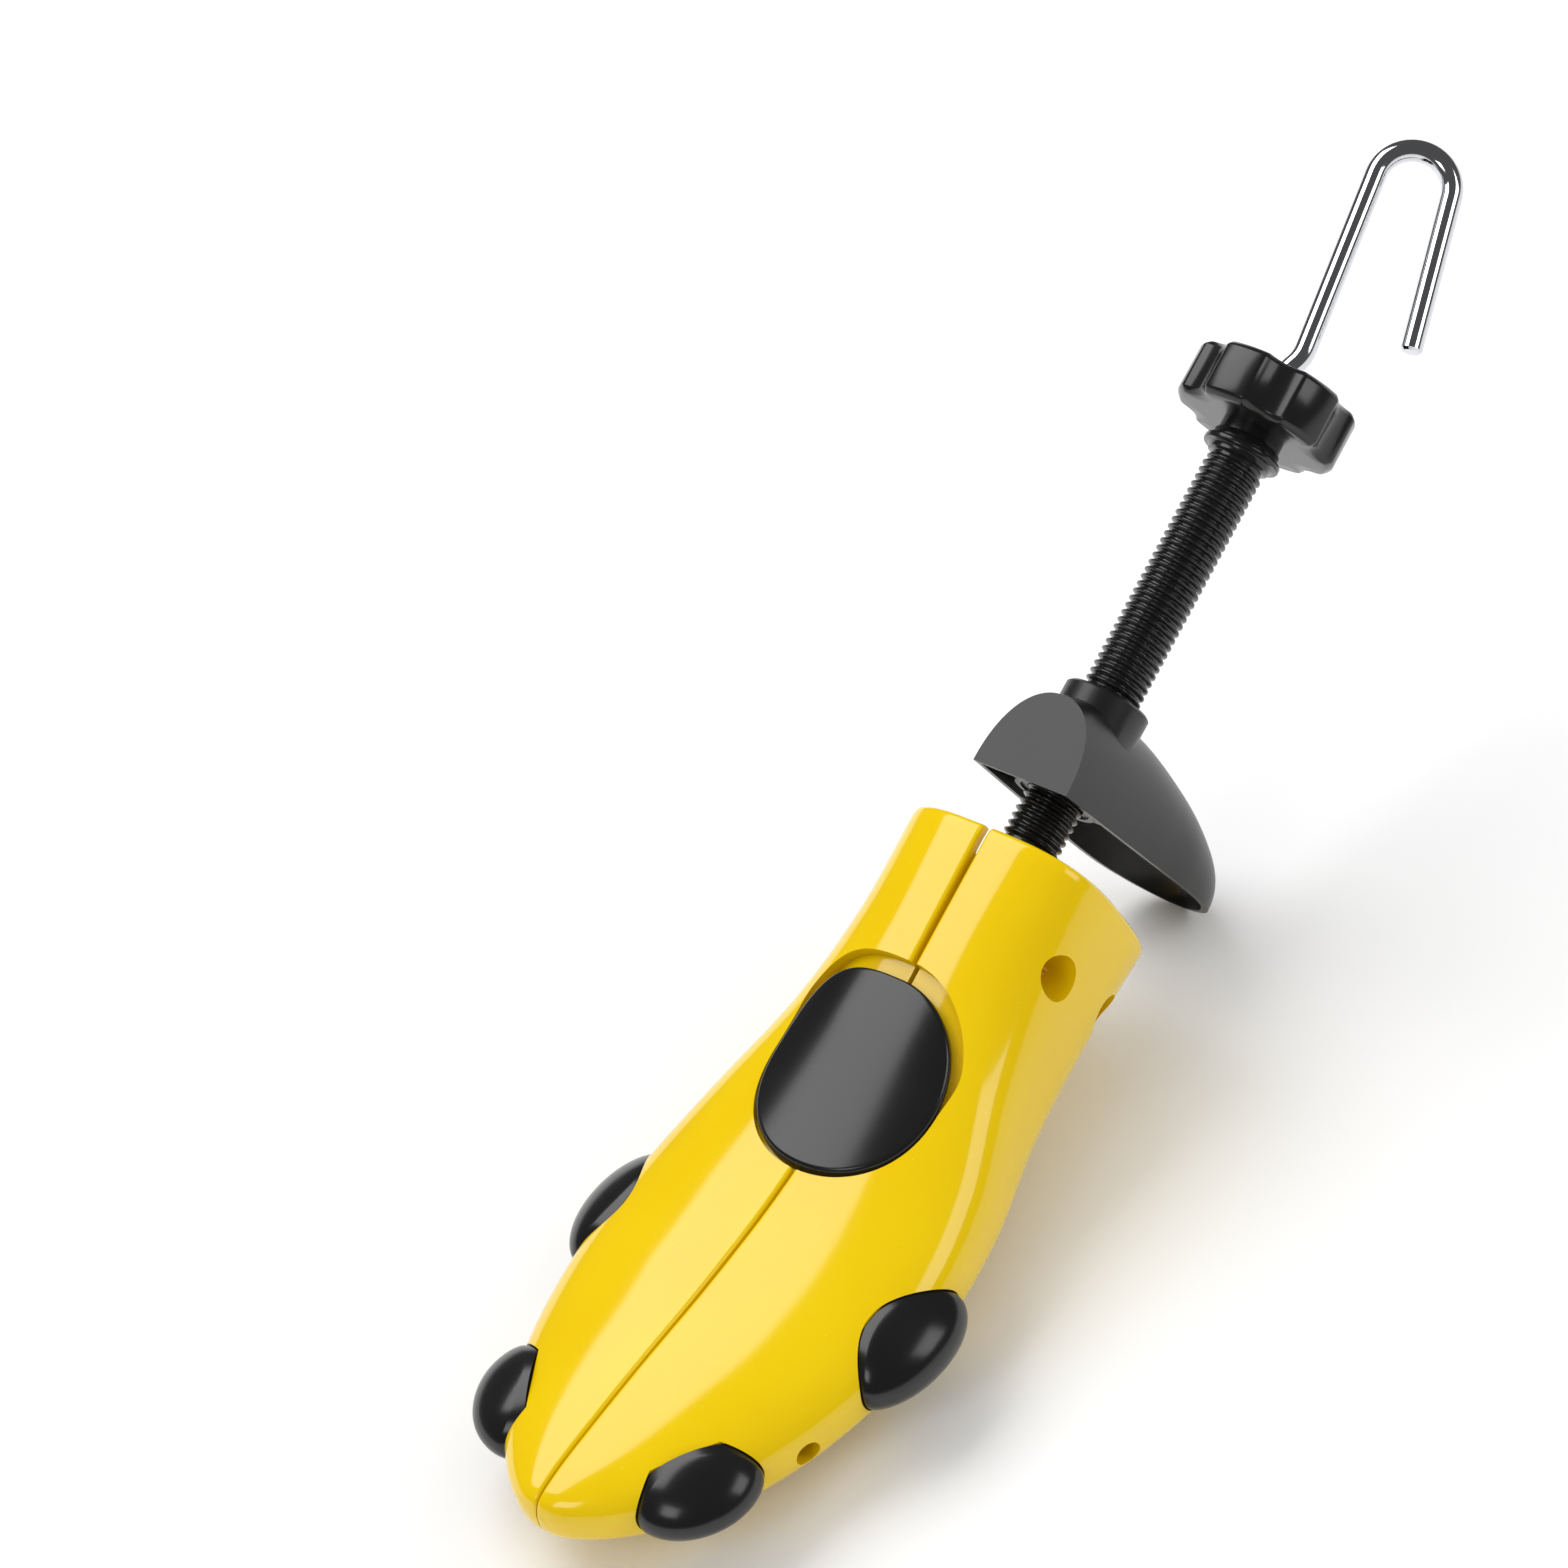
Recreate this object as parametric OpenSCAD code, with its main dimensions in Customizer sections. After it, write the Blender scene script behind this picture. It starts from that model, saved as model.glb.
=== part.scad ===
// Two-way shoe stretcher: a split, foot-shaped shell that opens at the toe,
// a heel block that travels along a threaded spindle, a star knob for the
// length and a wire hook that turns the spreading screw for the width.
//
// Frame: Z = 0 is the surface that the tip of the heel block touches, X = 0
// the seam between the halves. The toe points to -Y, and the spindle leaves
// the shell near Y = 0 and rises to the rear.

/* [Foot shell] */
// Distance from the toe tip to the place where the spindle leaves the shell
foot_length = 191.5; // [186:0.5:200]
// Half the width of the shell at the ball of the foot
ball_half_width = 45; // [43:0.5:47]
// Height of the sole above the lowest point of the heel block
sole_height = 5.6; // [5:0.1:6.5]
// Wall thickness of the shell
shell_wall = 3.2; // [2.8:0.1:3.6]
// Gap between the halves at the toe
seam_toe = 0.3; // [0.3:0.1:0.6]
// Gap between the halves at the mouth, which closes as the toe opens
seam_mouth = 2.2; // [2:0.1:2.6]
// Rings along one half
shell_rings = 30; // [24:1:40]
// Segments around one half
shell_segments = 14; // [12:2:20]

/* [Instep pad] */
// Depth of the seat sunk into the shell for the pad
seat_depth = 3; // [2.6:0.1:3.2]
// How far the pad stands above the shell
pad_proud = 2; // [1.4:0.1:2.4]
// Half the width of the pad
pad_half_width = 23; // [21:0.5:24]

/* [Pressure plugs] */
// Length of the oval dome
plug_length = 35; // [32:0.5:38]
// Width of the oval dome
plug_width = 22; // [20:0.5:24]
// Height of the dome above the shell
plug_height = 7.5; // [6:0.5:8]
// Radius of the peg that holds a plug
peg_radius = 3.2; // [2.8:0.1:3.6]
// Length of the peg below the dome
peg_length = 6; // [5:0.5:8]

/* [Spindle and knob] */
// Angle between the spindle and the sole
axis_tilt = 25; // [24:0.5:26]
// Height of the spindle above the sole at the mouth
mouth_height = 52.5; // [52:0.5:54]
// Outer radius of the spindle's thread
spindle_radius = 7.5; // [7:0.1:7.8]
// Radius of the smooth journal inside the bearing
journal_radius = 6.4; // [6:0.1:6.6]
// Pitch of the spindle's thread, which is cut in the finished part
spindle_pitch = 2; // [1.5:0.1:2.5]
// Length of the spindle from the mouth to its flange
spindle_length = 115; // [112:1:120]
// Radius of the knob over its lobes
knob_radius = 21; // [19:0.5:23]
// Thickness of the knob
knob_height = 14.5; // [13:0.5:16]
// Number of lobes on the knob
knob_lobes = 6; // [5:1:8]

/* [Heel block] */
// Position of the block's open face along the spindle, as it is photographed
heel_start = 17.2; // [16:0.2:24]
// Wall thickness of the heel block
heel_wall = 1.8; // [1.6:0.1:2.2]
// Radius of the boss that holds the threaded bush
boss_radius = 11; // [10.6:0.1:11.5]

/* [Spreading screw] */
// Radius of the wire that forms the hook and the screw
rod_radius = 2.75; // [2.5:0.05:3]
// Half angle of the spreading wedge
wedge_angle = 25; // [24:0.5:26]
// Travel of the wedge from closed to fully spread
wedge_travel = 12; // [10:0.5:12]
// Radius of the noses that ride on the wedge
nose_radius = 2.5; // [2.2:0.1:2.8]
// Angle of the hook's plane around the spindle
hook_angle = -30; // [-60:5:60]

/* [Clearances] */
// Radial clearance of a running fit
run_fit = 0.05; // [0.03:0.01:0.08]
// Gap between parts that pass each other
pass_gap = 0.4; // [0.3:0.05:0.5]

/* [Hidden] */

// Rows of the shell along its length: position as a share of the length,
// height of the top line, tilt of the section, half width as a share of the
// ball, thickness, and how square the upper and the lower half are.
rows = [
  [-1.000, 17.5,  0, 0.05,  4.0, 2.2, 2.4],
  [-0.990, 21.5,  0, 0.18, 11.5, 2.2, 2.6],
  [-0.955, 24.0,  0, 0.38, 17.5, 2.2, 2.8],
  [-0.890, 26.0,  0, 0.61, 22.5, 2.2, 3.0],
  [-0.785, 28.3,  0, 0.83, 28.0, 2.2, 3.0],
  [-0.655, 30.5,  0, 0.97, 30.5, 2.2, 3.0],
  [-0.525, 34.3,  3, 1.00, 33.5, 2.2, 3.0],
  [-0.400, 41.0,  9, 0.92, 38.5, 2.3, 3.0],
  [-0.275, 51.0, 15, 0.75, 45.0, 2.5, 3.0],
  [-0.160, 61.5, 20, 0.66, 52.0, 2.7, 3.0],
  [-0.045, 72.0, 20, 0.64, 57.0, 3.0, 3.0]];
last = len(rows) - 1;
pad_from = 6.2;
pad_to = 8.8;
pad_steps = [0, 0.3, 0.55, 0.75, 0.88, 0.96, 1];
extra_seat = seat_depth - 0.6;

// Fixed places along the spindle, measured from the mouth.
pivot_a = -6;
nose_a = -72;
pivot_arm = pivot_a - nose_a;
wedge_rear = nose_a + 2;
wedge_tip = 4.5;
wedge_len = wedge_travel + 4;
wedge_half_b = 6;
spread_angle = asin(wedge_travel * tan(wedge_angle) / pivot_arm);
nose_x = wedge_tip + 2 * tan(wedge_angle) + (nose_radius + 0.1) / cos(wedge_angle);
stem_a = -56;
stem_radius = 3.2;
barrel_radius = journal_radius + 3.5;
yoke_front = -22;
shoulder_a = -0.8;
tube_front = yoke_front - 4;
flange_a = spindle_length;
knob_a = spindle_length + 6.5;
knob_back = knob_a + knob_height;
seat_radius = journal_radius - 0.9;
rod_front = wedge_rear - wedge_len - 3;
pin_radius = 1.6;
eye_radius = 4;
leaf_x = 14;
leaf_t = 2;
screw_radius = 1.65;
screw_spots = [[-21, 6], [-20, -22]];
recess_radius = 5.5;
recess_floor = 20;
plug_rear_y = -0.57 * foot_length;
plug_spare_y = -0.745 * foot_length;
plug_front_y = -0.877 * foot_length;

// The shell's surface.
function row(i) = rows[min(max(i, 0), last)];
function blend(p, q, r, s, u) =
  0.5 * (2 * q + (r - p) * u + (2 * p - 5 * q + 4 * r - s) * u * u
  + (3 * q - p - 3 * r + s) * u * u * u);
function at(t) = let(i = min(floor(t), last - 1), u = t - i)
  blend(row(i - 1), row(i), row(i + 1), row(i + 2), u);
function sgn_pow(v, p) = sign(v) * pow(abs(v), p);
// Half the gap between the halves, which opens faster towards the mouth.
function seam_x(y) = let(s = (y + foot_length) / foot_length)
  seam_toe / 2 + (seam_mouth - seam_toe) / 2 * (0.35 * s + 0.65 * pow(s, 4));
function bump(t) = t < pad_from - 1 ? 0 : t > pad_to + 1 ? 0
  : t < pad_from ? t - pad_from + 1 : t > pad_to ? pad_to + 1 - t : 1;
// One half section: t along the shell, side and top insets, shift along it.
function half_ring(t, side, up, down, shift, x0, segs = shell_segments) =
  let(s = at(t), th = s[2], h = s[4] / 2, w = s[3] * ball_half_width - side)
  [for (i = [0:segs])
    let(p = -90 + 180 * i / segs,
      n = p >= 0 ? s[5] : s[6],
      v = (p >= 0 ? h - up : h - down) * sgn_pow(sin(p), 2 / n) - h,
      y = s[0] * foot_length - v * sin(th) + shift * cos(th),
      z = sole_height + s[1] + v * cos(th) + shift * sin(th),
      xs = x0 + seam_x(y))
    [xs + (w - xs) * sgn_pow(cos(p), 2 / n), y, z]];
// A solid through closed rings that run the same way round.
module loft(rings) {
  m = len(rings[0]);
  k = len(rings) - 1;
  sides = [for (r = [0:k - 1]) for (i = [0:m - 1])
    let(a = r * m + i, b = r * m + (i + 1) % m)
    each [[a, b, a + m], [b, b + m, a + m]]];
  caps = [[for (i = [m - 1:-1:0]) i], [for (i = [0:m - 1]) k * m + i]];
  polyhedron(points = [for (r = rings) each r], faces = concat(sides, caps),
    convexity = 6);
}
// One hollow half: an outer skin, an inner skin from ring c on, and the
// flat lands that join the two along the seam and around the mouth.
module hollow_half() {
  body = [for (k = [0:shell_rings]) [last * k / shell_rings, 0, 0]];
  path = concat(body, [[last, 0, 1.2], [last, 0.8, 2.4], [last, 2.4, 3]]);
  c = 5;
  m = shell_segments + 1;
  k = len(path) - 1;
  o = [for (q = path) half_ring(q[0], q[1], q[1], q[1], q[2], 0)];
  n = [for (j = [c:k]) let(q = path[j])
    half_ring(q[0], shell_wall, shell_wall + extra_seat * bump(q[0]), shell_wall,
      q[2], 0)];
  f = (k + 1 - c) * m;
  skin = [for (r = [0:k - 1]) for (i = [0:m - 2])
    let(a = r * m + i) each [[a, a + 1, a + m], [a + 1, a + m + 1, a + m]]];
  lining = [for (r = [c:k - 1]) for (i = [0:m - 2])
    let(a = (k + 1 + r - c) * m + i) each [[a, a + m, a + 1], [a + 1, a + m, a + m + 1]]];
  front_land = [for (r = [0:c - 2]) let(a = r * m)
    each [[a, a + m, a + 2 * m - 1], [a, a + 2 * m - 1, a + m - 1]]];
  corner = let(a = (c - 1) * m, b = (k + 1) * m)
    [[a, a + m, b, b + m - 1, a + 2 * m - 1, a + m - 1]];
  lands = [for (r = [c:k - 1]) let(a = r * m, b = (k + 1 + r - c) * m)
    each [[a, a + m, b + m], [a, b + m, b],
      [b + m - 1, b + 2 * m - 1, a + 2 * m - 1], [b + m - 1, a + 2 * m - 1, a + m - 1]]];
  mouth = [for (i = [0:m - 2]) let(a = k * m + i, b = (2 * k + 1 - c) * m + i)
    each [[a, a + 1, b + 1], [a, b + 1, b]]];
  ends = [[for (i = [m - 1:-1:0]) i], [for (i = [0:m - 1]) (k + 1) * m + i]];
  polyhedron(points = concat([for (r = o) each r], [for (r = n) each r]),
    faces = concat(skin, lining, front_land, corner, lands, mouth, ends),
    convexity = 8);
}
// A coarse solid through the middle of the wall, which trims the ribs.
module core_half() {
  inset = shell_wall / 2;
  path = [for (k = [0:16]) [0.8 + (last - 0.8) * k / 16, 0]];
  loft([for (q = path) half_ring(q[0], inset, inset + extra_seat * bump(q[0]), inset,
    q[1], 0, 10)]);
}
// A closed pillow: rings of points above and below, from the middle out.
module pillow(top, low) {
  m = len(top[1]);
  k = len(top) - 1;
  d = 1 + k * m;
  up = [for (i = [0:m - 1]) let(j = (i + 1) % m) each [[0, 1 + j, 1 + i],
    [d, d + 1 + i, d + 1 + j], [1 + (k - 1) * m + i, 1 + (k - 1) * m + j,
    d + 1 + (k - 1) * m + j], [1 + (k - 1) * m + i, d + 1 + (k - 1) * m + j,
    d + 1 + (k - 1) * m + i]]];
  rest = [for (r = [0:k - 2]) for (i = [0:m - 1])
    let(j = (i + 1) % m, a = 1 + r * m, b = 1 + (r + 1) * m)
    each [[a + i, a + j, b + j], [a + i, b + j, b + i],
      [d + a + i, d + b + j, d + a + j], [d + a + i, d + b + i, d + b + j]]];
  polyhedron(points = concat([for (r = top) each r], [for (r = low) each r]),
    faces = concat(up, rest), convexity = 4);
}
// A point on the top of the shell at x, raised by off on a section widened.
function top_at(t, x, off, wide) =
  let(s = at(t), th = s[2], h = s[4] / 2, w = s[3] * ball_half_width + off + wide,
    v = (h + off) * pow(1 - pow(min(abs(x) / w, 1), s[5]), 1 / s[5]) - h)
  [x, s[0] * foot_length - v * sin(th), sole_height + s[1] + v * cos(th)];

// The spindle's own frame: Y along the spindle, Z square to it.
module on_spindle() {
  translate([0, 0, sole_height + mouth_height]) rotate([axis_tilt, 0, 0]) children();
}
module along(a0, a1, r, x = 0, b = 0) {
  translate([x, a0, b]) rotate([-90, 0, 0]) cylinder(h = a1 - a0, r = r, $fn = 48);
}
module ring_along(a0, a1, r_out, r_in) {
  difference() {
    along(a0, a1, r_out);
    along(a0 - 1, a1 + 1, r_in);
  }
}
module upright(b0, b1, r, a, x = 0) {
  translate([x, a, b0]) cylinder(h = b1 - b0, r = r, $fn = 40);
}
module across(x0, x1, r, a, b) {
  translate([x0, a, b]) rotate([0, 90, 0]) cylinder(h = x1 - x0, r = r, $fn = 40);
}

// The instep pad: an outline across both halves.
pad_segments = 32;
// Outline in places along the shell and across it, rear edge flatter.
function pad_at(i, r, grow) =
  let(p = 360 * i / pad_segments, n = sin(p) > 0 ? 3.2 : 2.2,
    fore = sin(p) > 0 ? 1.05 + 0.17 * grow : 0.95 + 0.08 * grow)
  [7.4 + r * fore * sgn_pow(sin(p), 2 / n),
    r * (pad_half_width + 3.6 * grow) * sgn_pow(cos(p), 2 / n)];
function pad_ring(r, off, wide, grow) = r == 0 ? [top_at(7.4, 0, off, wide)]
  : [for (i = [0:pad_segments - 1]) let(q = pad_at(i, r, grow))
    top_at(q[0], q[1], off, wide)];
module pad_body(over, under, wide, grow, droop) {
  pillow([for (r = pad_steps) pad_ring(r, over - droop * pow(r, 4), 0, grow)],
    [for (r = pad_steps) pad_ring(r, under, wide, grow)]);
}

// Where the plugs sit: direction of the peg and its seat.
module plug_place(which) {
  y = which == 0 ? plug_rear_y : which == 1 ? plug_spare_y : plug_front_y;
  x = which == 0 ? 0.99 : which == 1 ? 0.855 : 0.655;
  turn = which == 0 ? -2 : which == 1 ? -20 : -31;
  z = sole_height + (which == 1 ? 11.5 : 15);
  translate([x * ball_half_width, y, z]) rotate([0, 0, turn]) children();
}
function plug_size(which) = which == 0 ? [plug_length, plug_width, 7.5]
  : [plug_length * 0.86, plug_width * 0.86, 7.5];
// Height of the dome at share r of the oval in direction i.
function dome(which, i, r) =
  let(s = plug_size(which), u = r * sin(15 * i), v = r * cos(15 * i))
  [s[1] / 2 * v, s[0] / 2 * u, plug_height * pow(1 - pow(r, 2.2), 0.7)
    + 0.8 - (s[2] - 1.2) * v * v - (which == 0 ? 0.6 : 1.8) * u * u];
module plug(which) {
  s = plug_size(which);
  color("#1b1b1d") plug_place(which) {
    rotate([0, 90, 0]) pillow(
      [for (r = [0, 0.35, 0.6, 0.78, 0.9, 0.97, 1]) r == 0 ? [dome(which, 0, 0)]
        : [for (i = [0:23]) dome(which, i, r)]],
      [for (r = [0, 0.35, 0.6, 0.78, 0.9, 0.97, 1])
        r == 0 ? [[0, 0, pass_gap - s[2]]]
        : [for (i = [0:23]) let(d = dome(which, i, r)) [d[0], d[1], pass_gap - s[2]]]]);
    rotate([7, 0, 0]) across(-s[2] - peg_length, 2 - s[2], peg_radius, 0, 0);
  }
}
// The pocket a plug sits in, or the block behind it, as an upright prism.
module plug_well(which, x0, x1, grow) {
  s = plug_size(which);
  plug_place(which) translate([x0, 0, 0]) rotate([0, 90, 0])
    linear_extrude(height = x1 - x0) polygon([for (i = [0:23])
      [(s[1] / 2 + grow) * sin(15 * i), (s[0] / 2 + grow) * cos(15 * i)]]);
}

// One half of the foot.
module shell_ribs() {
  // nose and its web, which ride on the wedge
  on_spindle() {
    upright(-wedge_half_b - 2, wedge_half_b + 2, nose_radius, nose_a, nose_x);
    translate([nose_x, nose_a - 1.5, -wedge_half_b - 2])
      cube([40, 3, 2 * wedge_half_b + 4]);
    // screw bosses
    for (s = screw_spots) across(leaf_x + leaf_t, 34, recess_radius + 2, s[0], s[1]);
  }
  // stiffening web with its comb of fins under the instep
  translate([8, -106, sole_height + 19]) cube([40, 2.4, 30]);
  for (i = [0:3]) translate([10 + 6 * i, -104, sole_height + 22]) cube([1.6, 18, 20]);
  // gusset behind the toe
  translate([6, -150, sole_height + 12]) cube([30, 2, 20]);
  // blocks behind the plugs and the spare socket
  plug_well(0, -plug_size(0)[2] - 2.5, 6, 1.6);
  plug_well(2, -plug_size(2)[2] - 2.5, 6, 1.6);
  plug_place(1) across(-peg_length, 4, peg_radius + 1.8, 0, 0);
}
module half_shell() {
  color("#e6c400") difference() {
    union() {
      hollow_half();
      intersection() {
        shell_ribs();
        core_half();
      }
    }
    pad_body(8, -seat_depth, 0, 1, 0);
    for (w = [0, 2]) {
      plug_well(w, -plug_size(w)[2], 14, pass_gap);
      plug_place(w) across(-plug_size(w)[2] - 4, 0, peg_radius + run_fit, 0, 0);
    }
    plug_place(1) across(-peg_length - 2, 8, peg_radius + run_fit, 0, 0);
    on_spindle() {
      for (s = screw_spots) {
        across(recess_floor, 40, recess_radius, s[0], s[1]);
        across(8, 40, screw_radius, s[0], s[1]);
      }
      upright(0, 40, stem_radius + 1.2, stem_a);
    }
  }
}
module half_shell_left() { mirror([1, 0, 0]) half_shell(); }
module half_shell_right() { half_shell(); }

// Hinge leaves, screws and pins.
module hinge_leaf(up0, low0) {
  color("#b9bcc2") on_spindle() difference() {
    union() {
      translate([leaf_x, -28, -25.3]) cube([leaf_t, 24.2, 38.5]);
      translate([leaf_x, -13, 0]) cube([leaf_t, 9.2, 14.6]);
      for (b = [[up0, 2], [low0, 4.6]]) {
        translate([0, pivot_a - 2.2, b[0]]) cube([leaf_x + 1, 4.4, b[1]]);
        upright(b[0], b[0] + b[1], eye_radius, pivot_a);
      }
    }
    upright(-40, 40, pin_radius + run_fit, pivot_a);
    for (s = screw_spots) across(leaf_x - 2, leaf_x + 4, screw_radius, s[0], s[1]);
  }
}
module hinge_leaf_right() { hinge_leaf(13.3, -20.9); }
module hinge_leaf_left() { mirror([1, 0, 0]) hinge_leaf(11.1, -16.0); }
module leaf_screws() {
  color("#c9b26a") on_spindle() for (s = screw_spots) difference() {
    union() {
      across(leaf_x - 2, leaf_x, 3, s[0], s[1]);
      across(leaf_x - 0.5, recess_floor + 3.6, screw_radius, s[0], s[1]);
    }
    translate([recess_floor + 2.6, s[0] - 0.35, s[1] - 3]) cube([2, 0.7, 6]);
  }
}
module leaf_screws_right() { leaf_screws(); }
module leaf_screws_left() { mirror([1, 0, 0]) leaf_screws(); }
module hinge_pin_upper() {
  color("#b9bcc2") on_spindle() {
    upright(journal_radius + 1, 16, pin_radius, pivot_a);
    upright(15.5, 16.5, pin_radius + 0.9, pivot_a);
  }
}
module hinge_pin_lower() {
  color("#b9bcc2") on_spindle() {
    upright(-28, -journal_radius - 1, pin_radius, pivot_a);
    upright(-28.8, -27.8, pin_radius + 0.9, pivot_a);
  }
}
module spring_coil() {
  color("#9a9da3") on_spindle() for (i = [0:4])
    translate([0, pivot_a, -22.1 - i]) rotate_extrude($fn = 48)
      translate([2.6, 0]) circle(r = 0.62, $fn = 16);
}

// Fixed bearing block with the pad's carrier.
module bearing_yoke() {
  color("#202022") on_spindle() difference() {
    union() {
      along(yoke_front, shoulder_a - 0.2, barrel_radius);
      translate([-4.5, pivot_a - 4, -barrel_radius - 1]) cube([9, 8, 2 * barrel_radius + 2]);
      translate([-4, stem_a - 5, barrel_radius - 0.6]) cube([8, yoke_front - stem_a + 8, 2.4]);
      translate([-4, yoke_front, 0]) cube([8, 3, barrel_radius + 1.8]);
    }
    along(yoke_front - 1, 4, journal_radius + run_fit);
    upright(journal_radius, 20, pin_radius, pivot_a);
    upright(-20, -journal_radius, pin_radius, pivot_a);
    upright(0, 20, 2, stem_a);
  }
}
module instep_pad() {
  color("#1b1b1d") {
    pad_body(pad_proud, 0.5 - seat_depth, 17, 0, 1.1);
    on_spindle() {
      upright(barrel_radius + 1.8, 19.5, stem_radius, stem_a);
      upright(barrel_radius - 0.6, 13, 2, stem_a);
    }
  }
}
module plug_right_front() { plug(2); }
module plug_right_rear() { plug(0); }
module plug_left_front() { mirror([1, 0, 0]) plug(2); }
module plug_left_rear() { mirror([1, 0, 0]) plug(0); }

// Spindle, knob and snap ring.
module spindle_tube() {
  color("#161617") on_spindle() difference() {
    union() {
      along(tube_front, shoulder_a + 1, journal_radius);
      along(shoulder_a, 5, spindle_radius - 0.5);
      along(5, spindle_length - 1, spindle_radius);
      along(spindle_length - 1.6, knob_a, spindle_radius + 0.5);
      along(flange_a, flange_a + 1.6, spindle_radius + 2.5);
      along(knob_a - 1, knob_back - 2.5, seat_radius);
    }
    along(tube_front - 1, knob_back + 1, rod_radius + run_fit);
    ring_along(yoke_front - 1.7, yoke_front - 0.5, journal_radius + 1, journal_radius - 0.7);
  }
}
module snap_ring() {
  color("#9a9da3") on_spindle()
    ring_along(yoke_front - 1.6, yoke_front - 0.6, journal_radius + 2, journal_radius - 0.7);
}
module star_knob() {
  cut_r = knob_radius * 0.42;
  cut_at = knob_radius * 1.31;
  color("#1b1b1d") on_spindle() difference() {
    union() {
      along(knob_a + 1.2, knob_back - 1.2, knob_radius);
      for (e = [[knob_a, 0], [knob_back - 1.2, 1]])
        translate([0, e[0], 0]) rotate([-90, 0, 0])
          cylinder(h = 1.2, r1 = knob_radius - (e[1] == 0 ? 1.2 : 0),
            r2 = knob_radius - (e[1] == 0 ? 0 : 1.2), $fn = 48);
    }
    for (i = [0:knob_lobes - 1]) rotate([0, 90 + (i + 0.5) * 360 / knob_lobes, 0])
      along(knob_a - 1, knob_back + 1, cut_r, x = cut_at);
    along(knob_a - 1, knob_back - 2.5, seat_radius);
    along(knob_a, knob_back + 1, rod_radius + pass_gap);
    along(knob_back - 1, knob_back + 1, 8);
  }
}

// Heel block.
heel_rows = [
  [18.5, 13.8, 22.5], [10, 14.4, 24.6], [0, 15.0, 26.0], [-15, 15.8, 26.0],
  [-30, 16.8, 24.0], [-45, 17.8, 20.5], [-58, 16.8, 15.5], [-67, 12.6, 10.5],
  [-72, 7.5, 6.5], [-74.5, 2.5, 2.8]];
heel_last = len(heel_rows) - 1;
function hrow(i) = heel_rows[min(max(i, 0), heel_last)];
function heel_at(t) = let(i = min(floor(t), heel_last - 1), u = t - i)
  blend(hrow(i - 1), hrow(i), hrow(i + 1), hrow(i + 2), u);
function heel_face(b) = heel_start + 0.055 * (18.5 - b);
function heel_ring(t, inset, cut) = let(s = heel_at(t), w = s[1] - inset, d = s[2] - inset)
  [for (i = [0:12]) let(p = 180 * i / 12)
    [w * sgn_pow(cos(p), 0.9), heel_face(s[0]) - cut + (d + cut) * sgn_pow(sin(p), 0.9),
      s[0]]];
module heel_loft(inset, cut, t0, t1) {
  loft([for (k = [0:14]) heel_ring(t0 + (t1 - t0) * k / 14, inset, cut)]);
}
module heel_block() {
  color("#1b1b1d") on_spindle() difference() {
    union() {
      difference() {
        heel_loft(0, 0, 0, heel_last);
        heel_loft(heel_wall, 4, 0.24, heel_last - 0.5);
      }
      // shelf below the boss and the keel under it
      translate([0, 0, -15.5]) linear_extrude(height = 1.6)
        polygon([[-14.6, heel_start + 4], [14.6, heel_start + 4], [14, 32], [9, 41],
          [0, 44.6], [-9, 41], [-14, 32]]);
      translate([-0.8, 0, 0]) rotate([90, 0, 90]) linear_extrude(height = 1.6)
        polygon([[heel_start + 8, -14.5], [43.8, -14.5], [41.2, -34], [38.2, -48],
          [heel_start + 12, -48]]);
      along(heel_start + 2, heel_start + 29.8, boss_radius);
    }
    along(0, 90, boss_radius - 1.8);
  }
}
module heel_bush() {
  color("#161617") on_spindle()
    ring_along(heel_start + 2.5, heel_start + 29.5, boss_radius - 1.8,
      spindle_radius + run_fit);
}

// Spreading screw with its hook.
hook_center = [6, 194.5];
hook_bend = 9.6;
hook_in = 96.3;
hook_out = -77;
hook_leg = 50;
hook_tail = 40;
function round_bend(turn) = hook_center + hook_bend * [cos(turn), sin(turn)];
function unit(turn) = [cos(turn), sin(turn)];
// A ring of the wire around point p, square to the direction turn.
function wire_ring(p, turn, k = 1) = [for (i = [0:15])
  let(f = 22.5 * i, r = k * rod_radius)
  [p[0] + r * cos(f) * sin(turn), p[1] - r * cos(f) * cos(turn), r * sin(f)]];
module hook_rod() {
  foot = round_bend(hook_in + 90) - hook_leg * unit(hook_in);
  tip = round_bend(hook_out + 90) + hook_tail * unit(hook_out);
  color("#d8dadd") on_spindle() {
    along(rod_front, knob_back + 2, rod_radius);
    rotate([0, -hook_angle, 0]) loft(concat(
      [wire_ring([0, knob_back + 0.8], 90, 0.94), wire_ring([0, knob_back + 2.8], 83, 0.96),
        wire_ring(foot, 84), wire_ring(foot + 3 * unit(hook_in), hook_in)],
      [for (k = [0:12]) let(turn = hook_in + (hook_out - hook_in) * k / 12)
        wire_ring(round_bend(turn + 90), turn)],
      [wire_ring(tip, hook_out)]));
  }
}
module rod_collar() {
  color("#9a9da3") on_spindle()
    ring_along(tube_front - 3.3, tube_front - pass_gap, rod_radius + 3, rod_radius);
}
module rod_washer() {
  color("#9a9da3") on_spindle()
    ring_along(knob_back - 1 + 0.3, knob_back + 0.5, 7, rod_radius);
}
module spreading_wedge() {
  wide = wedge_tip + wedge_len * tan(wedge_angle);
  color("#2a2a2d") on_spindle() difference() {
    translate([0, 0, -wedge_half_b]) linear_extrude(height = 2 * wedge_half_b)
      polygon([[-wedge_tip, wedge_rear], [wedge_tip, wedge_rear],
        [wide, wedge_rear - wedge_len], [-wide, wedge_rear - wedge_len]]);
    along(wedge_rear - wedge_len + 6, wedge_rear + 1, rod_radius + 0.3);
    along(wedge_rear - wedge_len - 1, wedge_rear - wedge_len + 6, 4.6);
  }
}
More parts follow.
